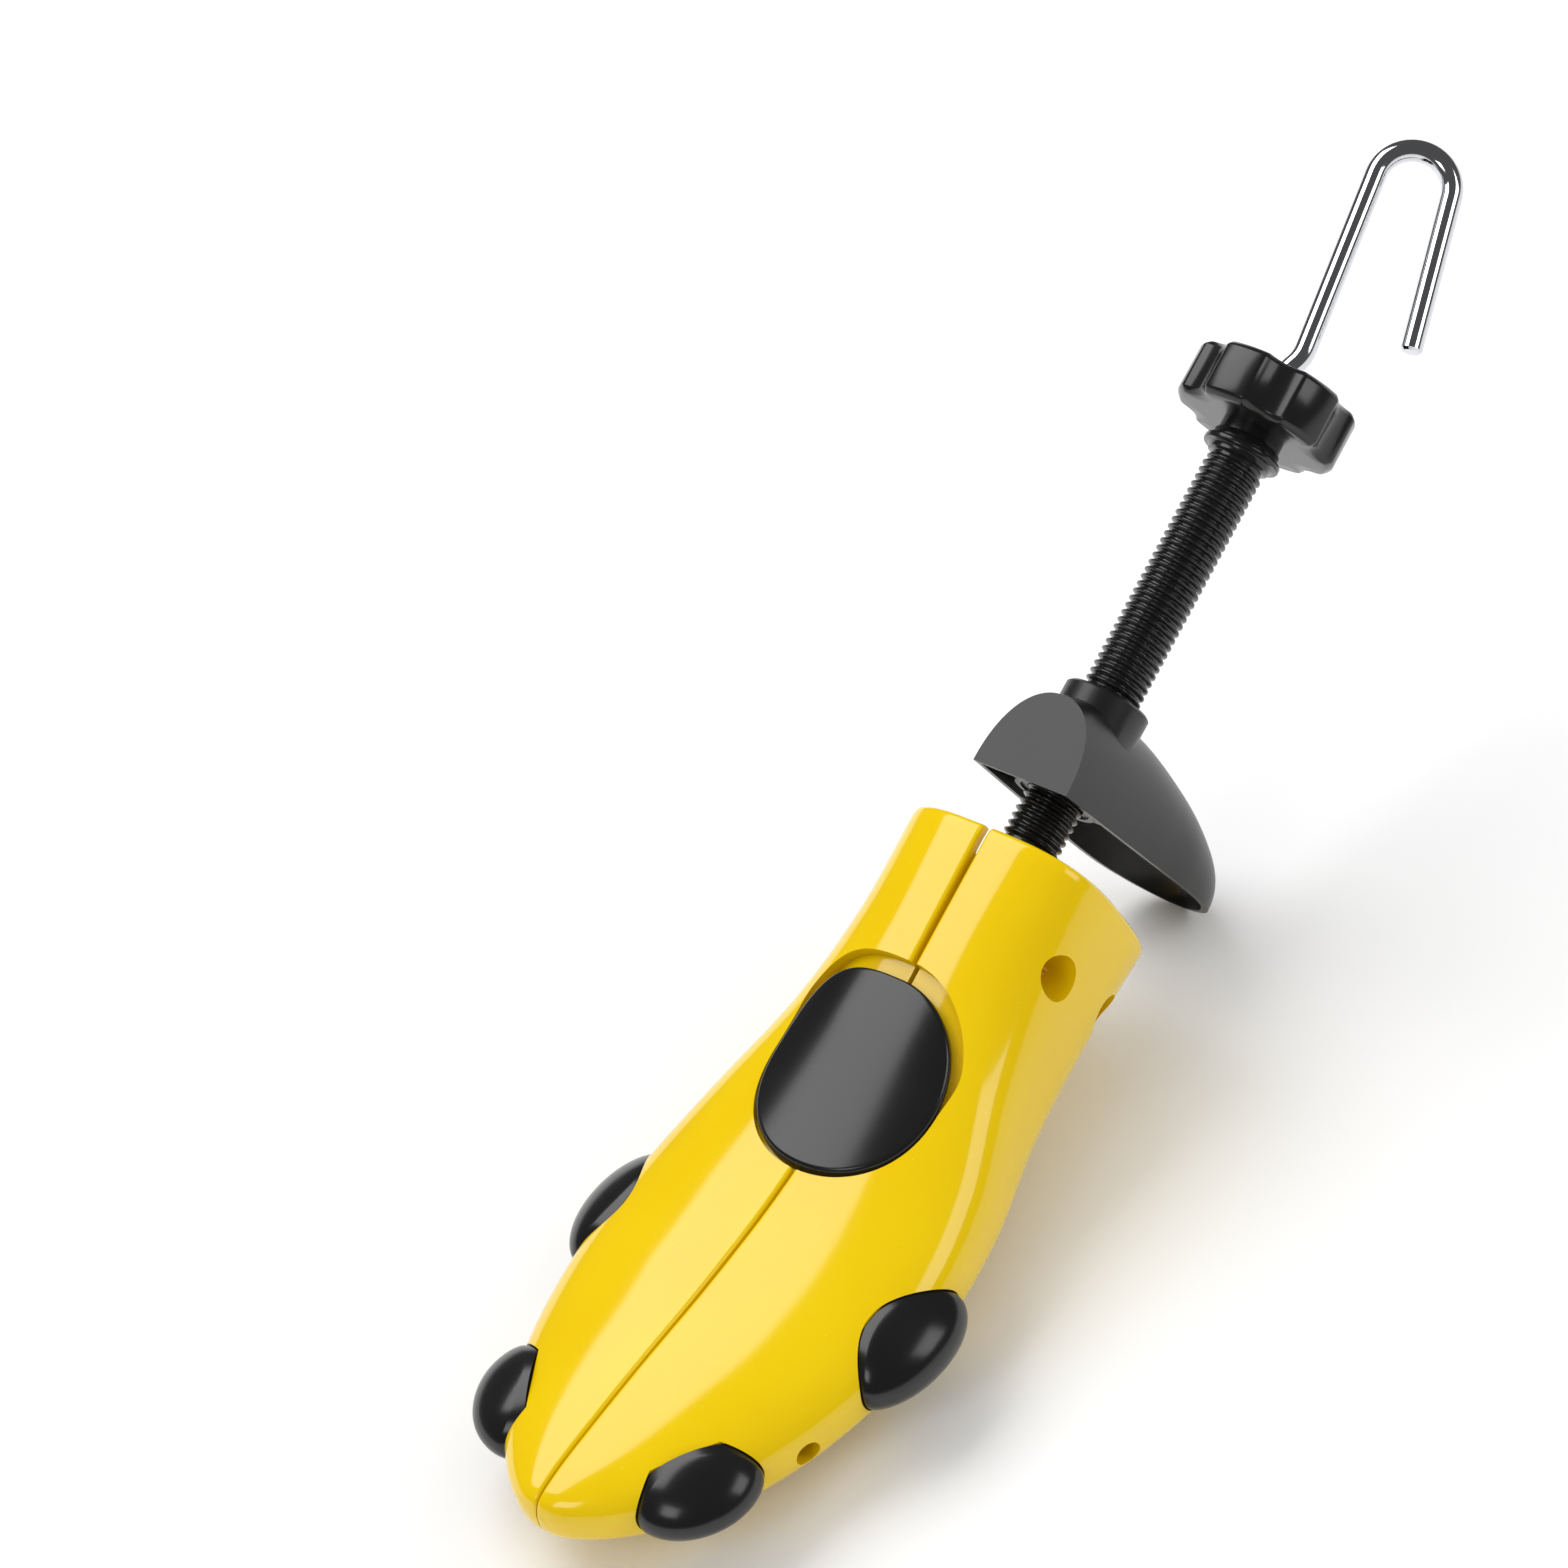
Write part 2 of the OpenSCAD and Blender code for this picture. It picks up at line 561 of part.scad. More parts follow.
module wedge_nut() {
  color("#c9b26a") on_spindle()
    ring_along(wedge_rear - wedge_len, wedge_rear - wedge_len + 6, 4.6,
      rod_radius + run_fit);
}

half_shell_left();
half_shell_right();
hinge_leaf_left();
hinge_leaf_right();
leaf_screws_left();
leaf_screws_right();
bearing_yoke();
hinge_pin_upper();
hinge_pin_lower();
spring_coil();
instep_pad();
plug_left_front();
plug_left_rear();
plug_right_front();
plug_right_rear();
spindle_tube();
star_knob();
snap_ring();
heel_block();
heel_bush();
hook_rod();
rod_collar();
rod_washer();
spreading_wedge();
wedge_nut();
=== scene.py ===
# %% [markdown]
# # A two-way shoe stretcher
# The real object is a hollow foot of glossy yellow plastic, split lengthwise. A star knob
# turns a black spindle that pushes a heel block away, and a chromed wire hook turns a
# screw inside the spindle that wedges the two halves apart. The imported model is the
# frame: every visible piece below is laid over its solids and rides on its bodies, so
# the pieces can move as the real ones do.

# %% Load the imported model
import math

import bpy
import numpy as np
from mathutils import Matrix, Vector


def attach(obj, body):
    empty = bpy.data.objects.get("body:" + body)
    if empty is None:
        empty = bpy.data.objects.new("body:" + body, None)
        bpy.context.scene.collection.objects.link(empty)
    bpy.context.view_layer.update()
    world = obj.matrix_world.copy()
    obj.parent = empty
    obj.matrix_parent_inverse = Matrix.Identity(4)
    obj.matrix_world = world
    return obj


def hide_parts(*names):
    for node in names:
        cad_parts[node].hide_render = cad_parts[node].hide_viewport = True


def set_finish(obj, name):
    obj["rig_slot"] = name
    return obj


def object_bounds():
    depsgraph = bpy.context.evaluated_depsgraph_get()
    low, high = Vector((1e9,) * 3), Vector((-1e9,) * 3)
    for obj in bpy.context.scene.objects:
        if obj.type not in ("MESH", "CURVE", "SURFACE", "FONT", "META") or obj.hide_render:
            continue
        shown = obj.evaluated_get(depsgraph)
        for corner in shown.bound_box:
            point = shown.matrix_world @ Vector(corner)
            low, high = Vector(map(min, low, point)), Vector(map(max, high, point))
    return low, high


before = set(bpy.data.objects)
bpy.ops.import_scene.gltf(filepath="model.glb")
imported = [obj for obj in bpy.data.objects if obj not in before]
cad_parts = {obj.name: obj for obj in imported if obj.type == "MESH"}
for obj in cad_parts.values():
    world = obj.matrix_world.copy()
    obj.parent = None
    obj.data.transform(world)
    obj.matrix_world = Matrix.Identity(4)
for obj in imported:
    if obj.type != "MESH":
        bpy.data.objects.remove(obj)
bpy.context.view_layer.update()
MM = 0.001

# %% [markdown]
# ## Two frames to think in
# The sole is level, 5.6 mm above the surface that the heel block's tip touches, and the
# seam between the halves lies on X = 0. Heights are written from the sole and lifted once,
# when a mesh is made. Everything that sits on the spindle is easier to write in the
# spindle's own frame: x across, a along the spindle and b square to both. One turn about X
# brings such points into the model's frame.

# %% The spindle's frame
AXIS_TILT = math.radians(25)
MOUTH_HEIGHT = 52.5
SOLE_HEIGHT = 5.6


def from_spindle(points):
    """Turns (x, a, b) into (x, y, z): a and b are turned by the tilt, then lifted."""
    x, a, b = np.moveaxis(np.asarray(points, float), -1, 0)
    c, s = math.cos(AXIS_TILT), math.sin(AXIS_TILT)
    return np.stack([x, a * c - b * s, MOUTH_HEIGHT + a * s + b * c], -1)


# %% [markdown]
# ## From a grid of points to a mesh
# A surface is a function of two numbers, worked out for a whole grid at once. The grid's
# rows close on themselves, and its first and last row are closed by a fan or, where the
# piece has a bore, joined to each other. A closed skin with its faces outwards encloses a
# positive volume, so the sign of that volume says whether to turn them round.

# %% Grid helper
CRISP_ANGLE = 35.0


def enclosed(verts, faces):
    """Volume inside: the sum of the wedges between the origin and each face's triangles."""
    fans = [(f[0], f[k], f[k + 1]) for f in faces for k in range(1, len(f) - 1)]
    a, b, c = np.moveaxis(np.asarray(verts)[np.array(fans)], 1, 0)
    return np.einsum("ij,ij->", a, np.cross(b, c)) / 6


def make_piece(name, verts, faces, smooth_angle=CRISP_ANGLE):
    """A mesh object from vertices in millimetres; edges sharper than the angle stay crisp."""
    if enclosed(verts, faces) < 0:
        faces = [f[::-1] for f in faces]
    mesh = bpy.data.meshes.new(name)
    lifted = (np.asarray(verts) + [0, 0, SOLE_HEIGHT]) * MM
    mesh.from_pydata(lifted.tolist(), [], [list(f) for f in faces])
    mesh.update()
    mesh.shade_smooth()
    mesh.set_sharp_from_angle(angle=math.radians(smooth_angle))
    piece = bpy.data.objects.new(name, mesh)
    bpy.context.scene.collection.objects.link(piece)
    return piece


def grid_faces(rows, cols, wrap_rows=False):
    """Quads between neighbouring rows; every row closes on itself."""
    r = np.arange(rows if wrap_rows else rows - 1)[:, None]
    c = np.arange(cols)[None, :]
    r2, c2 = (r + 1) % rows, (c + 1) % cols
    quads = np.stack([r * cols + c, r * cols + c2, r2 * cols + c2, r2 * cols + c], -1)
    return quads.reshape(-1, 4)


def skin(name, rings, wrap_rows=False, smooth_angle=CRISP_ANGLE):
    """Joins closed rings of points; open ends are closed by a fan around their middle."""
    rings = np.asarray(rings, float)
    rows, cols = rings.shape[:2]
    verts = rings.reshape(-1, 3)
    faces = grid_faces(rows, cols, wrap_rows).tolist()
    if not wrap_rows:
        first, last = len(verts), len(verts) + 1
        verts = np.vstack([verts, rings[0].mean(0), rings[-1].mean(0)])
        i = np.arange(cols)
        j = (i + 1) % cols
        start = np.stack([np.full(cols, first), j, i], -1)
        k = (rows - 1) * cols
        end = np.stack([np.full(cols, last), k + i, k + j], -1)
        faces += np.vstack([start, end]).tolist()
    return make_piece(name, verts, faces, smooth_angle)


def circle(radius, count=48):
    """Points of a circle about the origin, as (across, up)."""
    turn = np.linspace(0, 2 * np.pi, count, endpoint=False)
    return np.stack([radius * np.sin(turn), radius * np.cos(turn)], -1)


def turned(name, profile, steps=96):
    """A solid revolve about the spindle: profile rows are (a, radius)."""
    a, r = np.array(profile).T
    turn = np.linspace(0, 2 * np.pi, steps, endpoint=False)
    ring = np.stack([np.outer(r, np.cos(turn)), np.repeat(a[:, None], steps, 1),
                     np.outer(r, np.sin(turn))], -1)
    return skin(name, from_spindle(ring))


def tell(*pieces):
    """Prints what was made."""
    for piece in pieces:
        print(piece.name, "faces:", len(piece.data.polygons))


# %% [markdown]
# ## Cutting and joining
# Pockets and holes are cut with the Boolean modifier, as a maker would mill them, and the
# result is baked at once into a plain mesh. Cutting a fine grid keeps the gloss smooth up
# to the edge of the cut.


# %% Boolean helper
def carve(piece, tools, operation="DIFFERENCE"):
    """Applies one Boolean a tool, then sets smooth faces with crisp edges."""
    for tool in tools:
        modifier = piece.modifiers.new("cut", "BOOLEAN")
        modifier.operation = operation
        modifier.solver = "MANIFOLD"
        modifier.object = tool
    graph = bpy.context.evaluated_depsgraph_get()
    mesh = bpy.data.meshes.new_from_object(piece.evaluated_get(graph))
    piece.modifiers.clear()
    piece.data = mesh
    mesh.shade_smooth()
    mesh.set_sharp_from_angle(angle=math.radians(CRISP_ANGLE))
    for tool in tools:
        bpy.data.objects.remove(tool)
    return piece


def prism(name, outline, low, high, place=from_spindle):
    """A straight bar: outline holds two of the three coordinates, low and high the third."""
    outline = np.asarray(outline, float)
    ends = [np.insert(outline, 2, level, axis=1) for level in (low, high)]
    return skin(name, [place(end) for end in ends], smooth_angle=30)


# %% [markdown]
# ## The foot's shape
# The foot is lofted: eleven stations from toe to mouth each say how high the top line
# is, how the section leans, how wide and thick it is and how square its upper and lower
# halves are. A smooth curve through the stations gives any section between them. The
# section itself is a superellipse, which runs from a soft oval at the toe to a rounded
# square at the neck.

# %% Stations of the foot
FOOT_LENGTH = 191.5
BALL_HALF_WIDTH = 45.0
TOE_GAP, MOUTH_GAP = 0.3, 2.2
# place, top height, lean, half width, thickness, upper and lower squareness
STATIONS = np.array([
    [-1.000, 17.5, 0, 0.05, 4.0, 2.2, 2.4],
    [-0.990, 21.5, 0, 0.18, 11.5, 2.2, 2.6],
    [-0.955, 24.0, 0, 0.38, 17.5, 2.2, 2.8],
    [-0.890, 26.0, 0, 0.61, 22.5, 2.2, 3.0],
    [-0.785, 28.3, 0, 0.83, 28.0, 2.2, 3.0],
    [-0.655, 30.5, 0, 0.97, 30.5, 2.2, 3.0],
    [-0.525, 34.3, 3, 1.00, 33.5, 2.2, 3.0],
    [-0.400, 41.0, 9, 0.92, 38.5, 2.3, 3.0],
    [-0.275, 51.0, 15, 0.75, 45.0, 2.5, 3.0],
    [-0.160, 61.5, 20, 0.66, 52.0, 2.7, 3.0],
    [-0.045, 72.0, 20, 0.64, 57.0, 3.0, 3.0]])
LAST = len(STATIONS) - 1


def section(t):
    """The station values at place t, by a cubic through the four nearest stations."""
    t = np.asarray(t, float)
    i = np.minimum(np.floor(t).astype(int), LAST - 1)
    u = (t - i)[..., None]
    p, q, r, s = (STATIONS[np.clip(i + k, 0, LAST)] for k in (-1, 0, 1, 2))
    return 0.5 * (2 * q + (r - p) * u + (2 * p - 5 * q + 4 * r - s) * u ** 2
                  + (3 * q - p - 3 * r + s) * u ** 3)


def seam_gap(y):
    """Half the gap between the halves: slow growth from the toe, faster near the mouth."""
    share = (y + FOOT_LENGTH) / FOOT_LENGTH
    growth = 0.35 * share + 0.65 * np.abs(share) ** 4
    return TOE_GAP / 2 + (MOUTH_GAP - TOE_GAP) / 2 * growth


def power(value, exponent):
    """A power that keeps the sign of its base."""
    return np.sign(value) * np.abs(value) ** exponent


# %% [markdown]
# One half of the section starts at the seam below, runs around the side and ends at the
# seam above. The points are spread evenly along that line, with more of them near the
# seam, because the edge there is rolled over by a small radius.

# %% One half of a section
AROUND = 150
ROLL = 0.9
SEAM_ZONE = 1.2
SEAM_STEPS = np.array([0, 0.15, 0.35, 0.6, 0.95])


def half_line(t, inset=(0, 0, 0), shift=0.0, count=AROUND, roll=ROLL):
    """Points of one half section; inset is side, top, bottom, shift is square to it."""
    place, top, lean, width, thick, up, down = section(t)
    p = np.linspace(-np.pi / 2, np.pi / 2, 721)
    half = np.where(p >= 0, thick / 2 - inset[1], thick / 2 - inset[2])
    square = np.where(p >= 0, up, down)
    v = half * power(np.sin(p), 2 / square)
    side = (width * BALL_HALF_WIDTH - inset[0]) * power(np.cos(p), 2 / square)
    run = np.concatenate([[0], np.cumsum(np.hypot(np.diff(side), np.diff(v)))])
    s = np.linspace(-1, 1, count)
    even = (0.5 + 0.5 * (0.72 * s + 0.28 * s ** 3 * (2 - np.abs(s)))) * run[-1]
    inner = even[(even > SEAM_ZONE) & (even < run[-1] - SEAM_ZONE)]
    even = np.sort(np.concatenate([inner, SEAM_STEPS, run[-1] - SEAM_STEPS]))
    even = np.interp(np.linspace(0, 1, count), np.linspace(0, 1, len(even)), even)
    side, v = np.interp(even, run, side), np.interp(even, run, v)
    lean = math.radians(lean)
    if roll:
        near = np.clip(1 - side / roll, 0, 1)
        v = v - np.sign(v) * roll * (1 - np.sqrt(np.clip(1 - near ** 2, 0, 1)))
    v = v - thick / 2
    y = place * FOOT_LENGTH - v * math.sin(lean) + shift * math.cos(lean)
    z = top + v * math.cos(lean) + shift * math.sin(lean)
    return np.stack([side, y, z], -1)


def half_rings(path, seam_x=None, **options):
    """D-shaped rings: the half line, closed by a straight land in the seam plane."""
    rings = []
    for t, inset, shift in path:
        line = half_line(t, inset, shift, **options)
        gap = seam_gap(line[:, 1]) if seam_x is None else np.full(len(line), seam_x)
        line[:, 0] = gap + line[:, 0] * (1 - gap / max(line[:, 0].max(), 1))
        land = line[-1] + (line[0] - line[-1]) * np.linspace(0, 1, 14)[1:-1, None]
        rings.append(np.vstack([line, land]))
    return np.array(rings)


# %% [markdown]
# ## One hollow half
# The outer solid runs from a rounded toe to the mouth, whose rim is rolled by a small
# radius. The cavity is the same loft, moved in by the wall.

# %% Outer solid and cavity
WALL = 3.2
SEAT_DEPTH = 3.0
EXTRA_WALL = SEAT_DEPTH - 0.6
SEAT_FROM, SEAT_TO = 6.2, 8.8
RIM, RIM_ROLL = 3.0, 1.6


def spread_places(count):
    """Places along the foot, closer together towards the toe."""
    s = np.linspace(0, 1, count)
    return LAST * (0.55 * s + 0.45 * s ** 1.6)


def seat_bump(t):
    """1 where the pad's seat is sunk into the top, 0 elsewhere, with sloped ends."""
    return float(np.clip(min(t - (SEAT_FROM - 1), SEAT_TO + 1 - t), 0, 1))


def outer_solid(name):
    """The foot's half without its hollow; the last rings roll the rim inwards."""
    path = [(t, (0, 0, 0), 0.0) for t in spread_places(260)]
    roll = np.linspace(0, np.pi / 2, 9)[1:]
    path += [(LAST, (RIM_ROLL * (1 - math.cos(q)),) * 3,
              RIM - RIM_ROLL + RIM_ROLL * math.sin(q)) for q in roll]
    return skin(name, half_rings(path))


def cavity_solid(name):
    """The hollow: open at the mouth and past the seam, and lower below the pad's seat."""
    places = np.linspace(1.6, LAST, 140)
    path = [(t, (WALL, WALL + EXTRA_WALL * seat_bump(t), WALL), 0.0) for t in places]
    path += [(LAST, (WALL, WALL, WALL), 1.5), (LAST, (WALL, WALL, WALL), RIM + 4)]
    return skin(name, half_rings(path, seam_x=-3.0, roll=0))


half_right = carve(outer_solid("half_right"), [cavity_solid("cavity")])
tell(half_right)

# %% [markdown]
# ## The instep pad and its seat
# The pad bridges both halves. Its outline is a fan, drawn on the foot's own top surface:
# one number runs along the foot, the other across it. The rear-left corner is squarer than
# the rear-right one. The same outline, grown, makes the tool that sinks the seat: it lies
# close around the front and the sides and leaves a gap behind the rear edge.

# %% Points on the top of the foot
PAD_MIDDLE = 7.4
PAD_HALF_WIDTH = 23.6
PAD_TO_REAR, PAD_TO_FRONT = 1.0, 0.98
REAR_GAP, FRONT_GAP = 0.2, 0.045
STATION_RUN = 22


def top_surface(t, x, rise, widened=0.0):
    """The foot's top at place t and distance x from the seam, lifted by rise."""
    s = section(t)
    place, top, lean, width, thick, up = (s[..., k] for k in range(6))
    w = width * BALL_HALF_WIDTH + rise + widened
    share = np.clip(1 - np.minimum(np.abs(x) / w, 1) ** up, 0, 1) ** (1 / up)
    v = (thick / 2 + rise) * share - thick / 2
    lean = np.radians(lean)
    return np.stack([x + 0 * v, place * FOOT_LENGTH - v * np.sin(lean),
                     top + v * np.cos(lean)], -1)


def pad_outline(turn, grow=0.0):
    """Place and distance of the outline: a fan whose rear corners differ in squareness."""
    rear = np.sin(turn) > 0
    left = np.cos(turn) < 0
    n = np.where(rear, np.where(left, 3.4, 2.0), 2.1)
    along = np.where(rear, PAD_TO_REAR + REAR_GAP * grow, PAD_TO_FRONT + FRONT_GAP * grow)
    near_rear = np.clip(2.5 * np.sin(turn), 0, 1)
    across = PAD_HALF_WIDTH + (0.5 + 1.7 * near_rear ** 2 * (3 - 2 * near_rear)) * grow
    return along * power(np.sin(turn), 2 / n), across * power(np.cos(turn), 2 / n)


def even_turns(count, grow):
    """Directions that space the outline's points evenly."""
    turn = np.linspace(0, 2 * np.pi, 1441)
    along, across = pad_outline(turn, grow)
    steps = np.hypot(np.diff(along) * STATION_RUN, np.diff(across))
    run = np.concatenate([[0], np.cumsum(steps)])
    return np.interp(np.linspace(0, run[-1], count, endpoint=False), run, turn)


def pad_shape(name, profile, grow, count=160):
    """Rings that follow the outline; profile rows are share, rise and widening."""
    along, across = pad_outline(even_turns(count, grow), grow)
    rings = [top_surface(PAD_MIDDLE + share * along, share * across, rise, wide)
             for share, rise, wide in profile]
    return skin(name, rings)


# %% The pad and the tool for its seat
def seat_cutter(name):
    """A thick pillow with the grown outline, from the seat's floor to above the foot."""
    shares = np.linspace(0.04, 1, 26)
    profile = [(s, 8.0, 0.0) for s in shares] + [(s, -SEAT_DEPTH, 0.0) for s in shares[::-1]]
    return pad_shape(name, profile, 1.0)


def pad_profile():
    """Crowned top, an edge rolled by a small radius, and a flat back that clears the foot."""
    crown = [(s, 2.0 - 1.25 * s ** 2, 0.0) for s in np.linspace(0.02, 0.955, 30)]
    roll = [(0.955 + 0.045 * math.sin(q), 0.86 - 1.06 * (1 - math.cos(q)), 0.0)
            for q in np.linspace(0, np.pi / 2, 8)[1:]]
    back = [(s, 0.5 - SEAT_DEPTH, 17.0) for s in np.linspace(1, 0.02, 24)]
    return crown + roll + back


pad = pad_shape("instep_pad_skin", pad_profile(), 0.0)
tell(pad)

# %% [markdown]
# ## Plugs, pockets and holes
# Each half carries two oval plugs and one spare socket. A plug is a low dome with a
# steep rolled rim, on a round peg. Its outline is set in a flat-floored pocket, so the
# dome seems to grow out of the curved side.

# %% Where the plugs sit
PLUG_LENGTH, PLUG_WIDTH, PLUG_HEIGHT = 35.0, 22.0, 7.5
PEG_RADIUS, PEG_LENGTH, PASS_GAP = 3.2, 6.0, 0.4
PLUG_BOW = {"rear": 0.6, "front": 1.8}
# share of the half width, share of the length, height, turn, scale
PLUG_SPOTS = {"rear": (0.99, -0.57, 15.0, -2, 1.0), "spare": (0.855, -0.745, 11.5, -20, 0),
              "front": (0.655, -0.877, 15.0, -31, 0.86)}
POCKET_DEPTH = 7.5
PEG_FIT = 0.05


def at_plug(points, spot):
    """Local points (outwards, along, up) turned about Z and moved to the plug's place."""
    share, along, height, turn, _ = PLUG_SPOTS[spot]
    out, run, up = np.moveaxis(np.asarray(points, float), -1, 0)
    c, s = math.cos(math.radians(turn)), math.sin(math.radians(turn))
    return np.stack([out * c - run * s + share * BALL_HALF_WIDTH,
                     out * s + run * c + along * FOOT_LENGTH, up + height], -1)


def oval(spot, grow=0.0, count=96):
    """The plug's oval outline as (along, up)."""
    scale = PLUG_SPOTS[spot][4]
    turn = np.linspace(0, 2 * np.pi, count, endpoint=False)
    return np.stack([(PLUG_LENGTH / 2 * scale + grow) * np.sin(turn),
                     (PLUG_WIDTH / 2 * scale + grow) * np.cos(turn)], -1)


def bar_along_peg(name, spot, outline, start, end):
    """A straight bar along the peg's direction with the given outline."""
    ends = [np.insert(outline, 0, level, axis=1) for level in (start, end)]
    return skin(name, [at_plug(e, spot) for e in ends])


def plug_skin(name, spot):
    """The dome falls with the side it sits on and rolls over at its rim; the back is flat."""
    scale = PLUG_SPOTS[spot][4]
    outline = oval(spot)
    v = outline[:, 1] / (PLUG_WIDTH / 2 * scale)
    u = outline[:, 0] / (PLUG_LENGTH / 2 * scale)
    bow = PLUG_BOW[spot]
    rings = []
    for share in np.sin(np.linspace(0.02, np.pi / 2, 30)):
        rise = PLUG_HEIGHT * (1 - share ** 2.2) ** 0.62 + 0.8
        out = rise - share ** 2 * ((POCKET_DEPTH - 1.2) * v ** 2 + bow * u ** 2)
        rings.append(np.insert(outline * share, 0, out, axis=1))
    back = PASS_GAP - POCKET_DEPTH
    for share in (1.0, 0.9):
        rings.append(np.insert(outline * share, 0, back, axis=1))
    peg = circle(PEG_RADIUS, len(outline))
    rings.append(np.insert(peg, 0, back, axis=1))
    rings.append(np.insert(peg, 0, -POCKET_DEPTH - PEG_LENGTH, axis=1))
    return skin(name, [at_plug(ring, spot) for ring in rings])


# %% [markdown]
# What stiffens the half inside is one body of ribs. It is built too large, trimmed to the
# middle of the wall and then joined to the half, so every rib ends inside the wall.


# %% Ribs inside the half
def block(name, low, high, spindle=True):
    """A plain bar between two corners, used only to build ribs."""
    (x0, y0, z0), (x1, y1, z1) = low, high
    outline = [(x0, y0), (x1, y0), (x1, y1), (x0, y1)]
    place = from_spindle if spindle else np.asarray
    return prism(name, outline, z0, z1, place)


def rod_across(name, x0, x1, radius, a, b, count=48):
    """A round bar along X in the spindle's frame."""
    turn = np.linspace(0, 2 * np.pi, count, endpoint=False)
    rings = [np.stack([np.full(count, x), a + radius * np.cos(turn),
                       b + radius * np.sin(turn)], -1) for x in (x0, x1)]
    return skin(name, from_spindle(rings))


def rod_up(name, b0, b1, radius, a, x=0.0, count=48):
    """A round bar square to the spindle."""
    turn = np.linspace(0, 2 * np.pi, count, endpoint=False)
    rings = [np.stack([x + radius * np.cos(turn), a + radius * np.sin(turn),
                       np.full(count, b)], -1) for b in (b0, b1)]
    return skin(name, from_spindle(rings))


SCREW_SPOTS = ((-21, 6), (-20, -22))
NOSE = (13.25, -72.0, 2.5)


def core_solid(name):
    """The middle of the wall as a solid, which trims the ribs to the shell."""
    inset = WALL / 2
    path = [(t, (inset, inset + EXTRA_WALL * seat_bump(t), inset), 0.0)
            for t in np.linspace(0.8, LAST, 90)]
    return skin(name, half_rings(path, roll=0, count=80))


def rib_set():
    """Nose and web, screw bosses, comb, gusset, plug blocks and the spare socket."""
    nose_x, nose_a, nose_r = NOSE
    ribs = [rod_up("nose", -8, 8, nose_r, nose_a, nose_x),
            block("nose_web", (nose_x, nose_a - 1.5, -8), (nose_x + 40, nose_a + 1.5, 8)),
            block("web", (8, -106, 19), (48, -103.6, 49), spindle=False),
            block("gusset", (6, -150, 12), (36, -148, 32), spindle=False)]
    ribs += [block("fin", (10 + 6 * i, -104, 22), (11.6 + 6 * i, -86, 42), spindle=False)
             for i in range(4)]
    ribs += [rod_across("boss", 16, 34, 7.5, a, b) for a, b in SCREW_SPOTS]
    ribs += [bar_along_peg("block", spot, oval(spot, 1.6), -POCKET_DEPTH - 2.5, 6)
             for spot in ("rear", "front")]
    ribs.append(bar_along_peg("socket", "spare", circle(PEG_RADIUS + 1.8),
                              -PEG_LENGTH, 4))
    return ribs


ribs = rib_set()
rib_body = carve(ribs[0], ribs[1:], "UNION")
rib_body = carve(rib_body, [core_solid("core")], "INTERSECT")
half_right = carve(half_right, [rib_body], "UNION")
tell(half_right)

# %% Pockets and holes
cutters = []
for spot in ("rear", "front"):
    cutters.append(bar_along_peg("pocket", spot, oval(spot, PASS_GAP), -POCKET_DEPTH, 14))
    cutters.append(bar_along_peg("peg_hole", spot, circle(PEG_RADIUS + PEG_FIT),
                                 -POCKET_DEPTH - 4, 0))
cutters.append(bar_along_peg("spare_hole", "spare", circle(PEG_RADIUS + PEG_FIT), -8, 8))
for a, b in SCREW_SPOTS:
    cutters.append(rod_across("recess", 20, 40, 5.5, a, b, 72))
    cutters.append(rod_across("screw_hole", 8, 40, 1.65, a, b, 24))
cutters.append(rod_up("stem_hole", 0, 40, 4.4, -56))
half_right = carve(half_right, cutters)
tell(half_right)

# %% [markdown]
# The left half and its plugs are mirror images. The pad isn't symmetric, so its seat is cut
# last, into each half by itself.


# %% The left half, the seats and the plugs
def mirrored(piece, name):
    """A left-hand copy: X changes sign and the faces are turned round to point outwards."""
    mesh = piece.data.copy()
    mesh.name = name
    co = np.empty(len(mesh.vertices) * 3, np.float32)
    mesh.vertices.foreach_get("co", co)
    co[0::3] *= -1
    mesh.vertices.foreach_set("co", co)
    mesh.flip_normals()
    mesh.update()
    mesh.set_sharp_from_angle(angle=math.radians(CRISP_ANGLE))
    copy = bpy.data.objects.new(name, mesh)
    bpy.context.scene.collection.objects.link(copy)
    return copy


half_left = mirrored(half_right, "half_left")
half_right = carve(half_right, [seat_cutter("seat_right")])
half_left = carve(half_left, [seat_cutter("seat_left")])
plugs = {}
for spot in ("rear", "front"):
    plugs["right_" + spot] = plug_skin("plug_skin_right_" + spot, spot)
    plugs["left_" + spot] = mirrored(plugs["right_" + spot], "plug_skin_left_" + spot)
tell(half_right, half_left, *plugs.values())

# %% [markdown]
# ## The spindle
# A plastic spindle with a coarse thread, a plain collar next to the shell, and a flange
# and stepped hub under the knob. The thread is one surface: its radius depends on how far
# a point lies along the spindle plus its share of a turn, taken modulo the pitch.

# %% Threaded spindle
SPINDLE_RADIUS, PITCH, THREAD_DEPTH = 7.5, 2.0, 0.95
BORE = 2.8
CREST_SHARE, FLANK_SHARE = 0.18, 0.62


def thread_drop(a, turn, pitch, depth):
    """How far the thread lies below its crest: flat crest, sloped flanks, flat root."""
    phase = np.abs(((a / pitch - turn / (2 * np.pi)) % 1.0) - 0.5) * 2
    return depth * np.clip((phase - CREST_SHARE) / FLANK_SHARE, 0, 1) ** 1.1


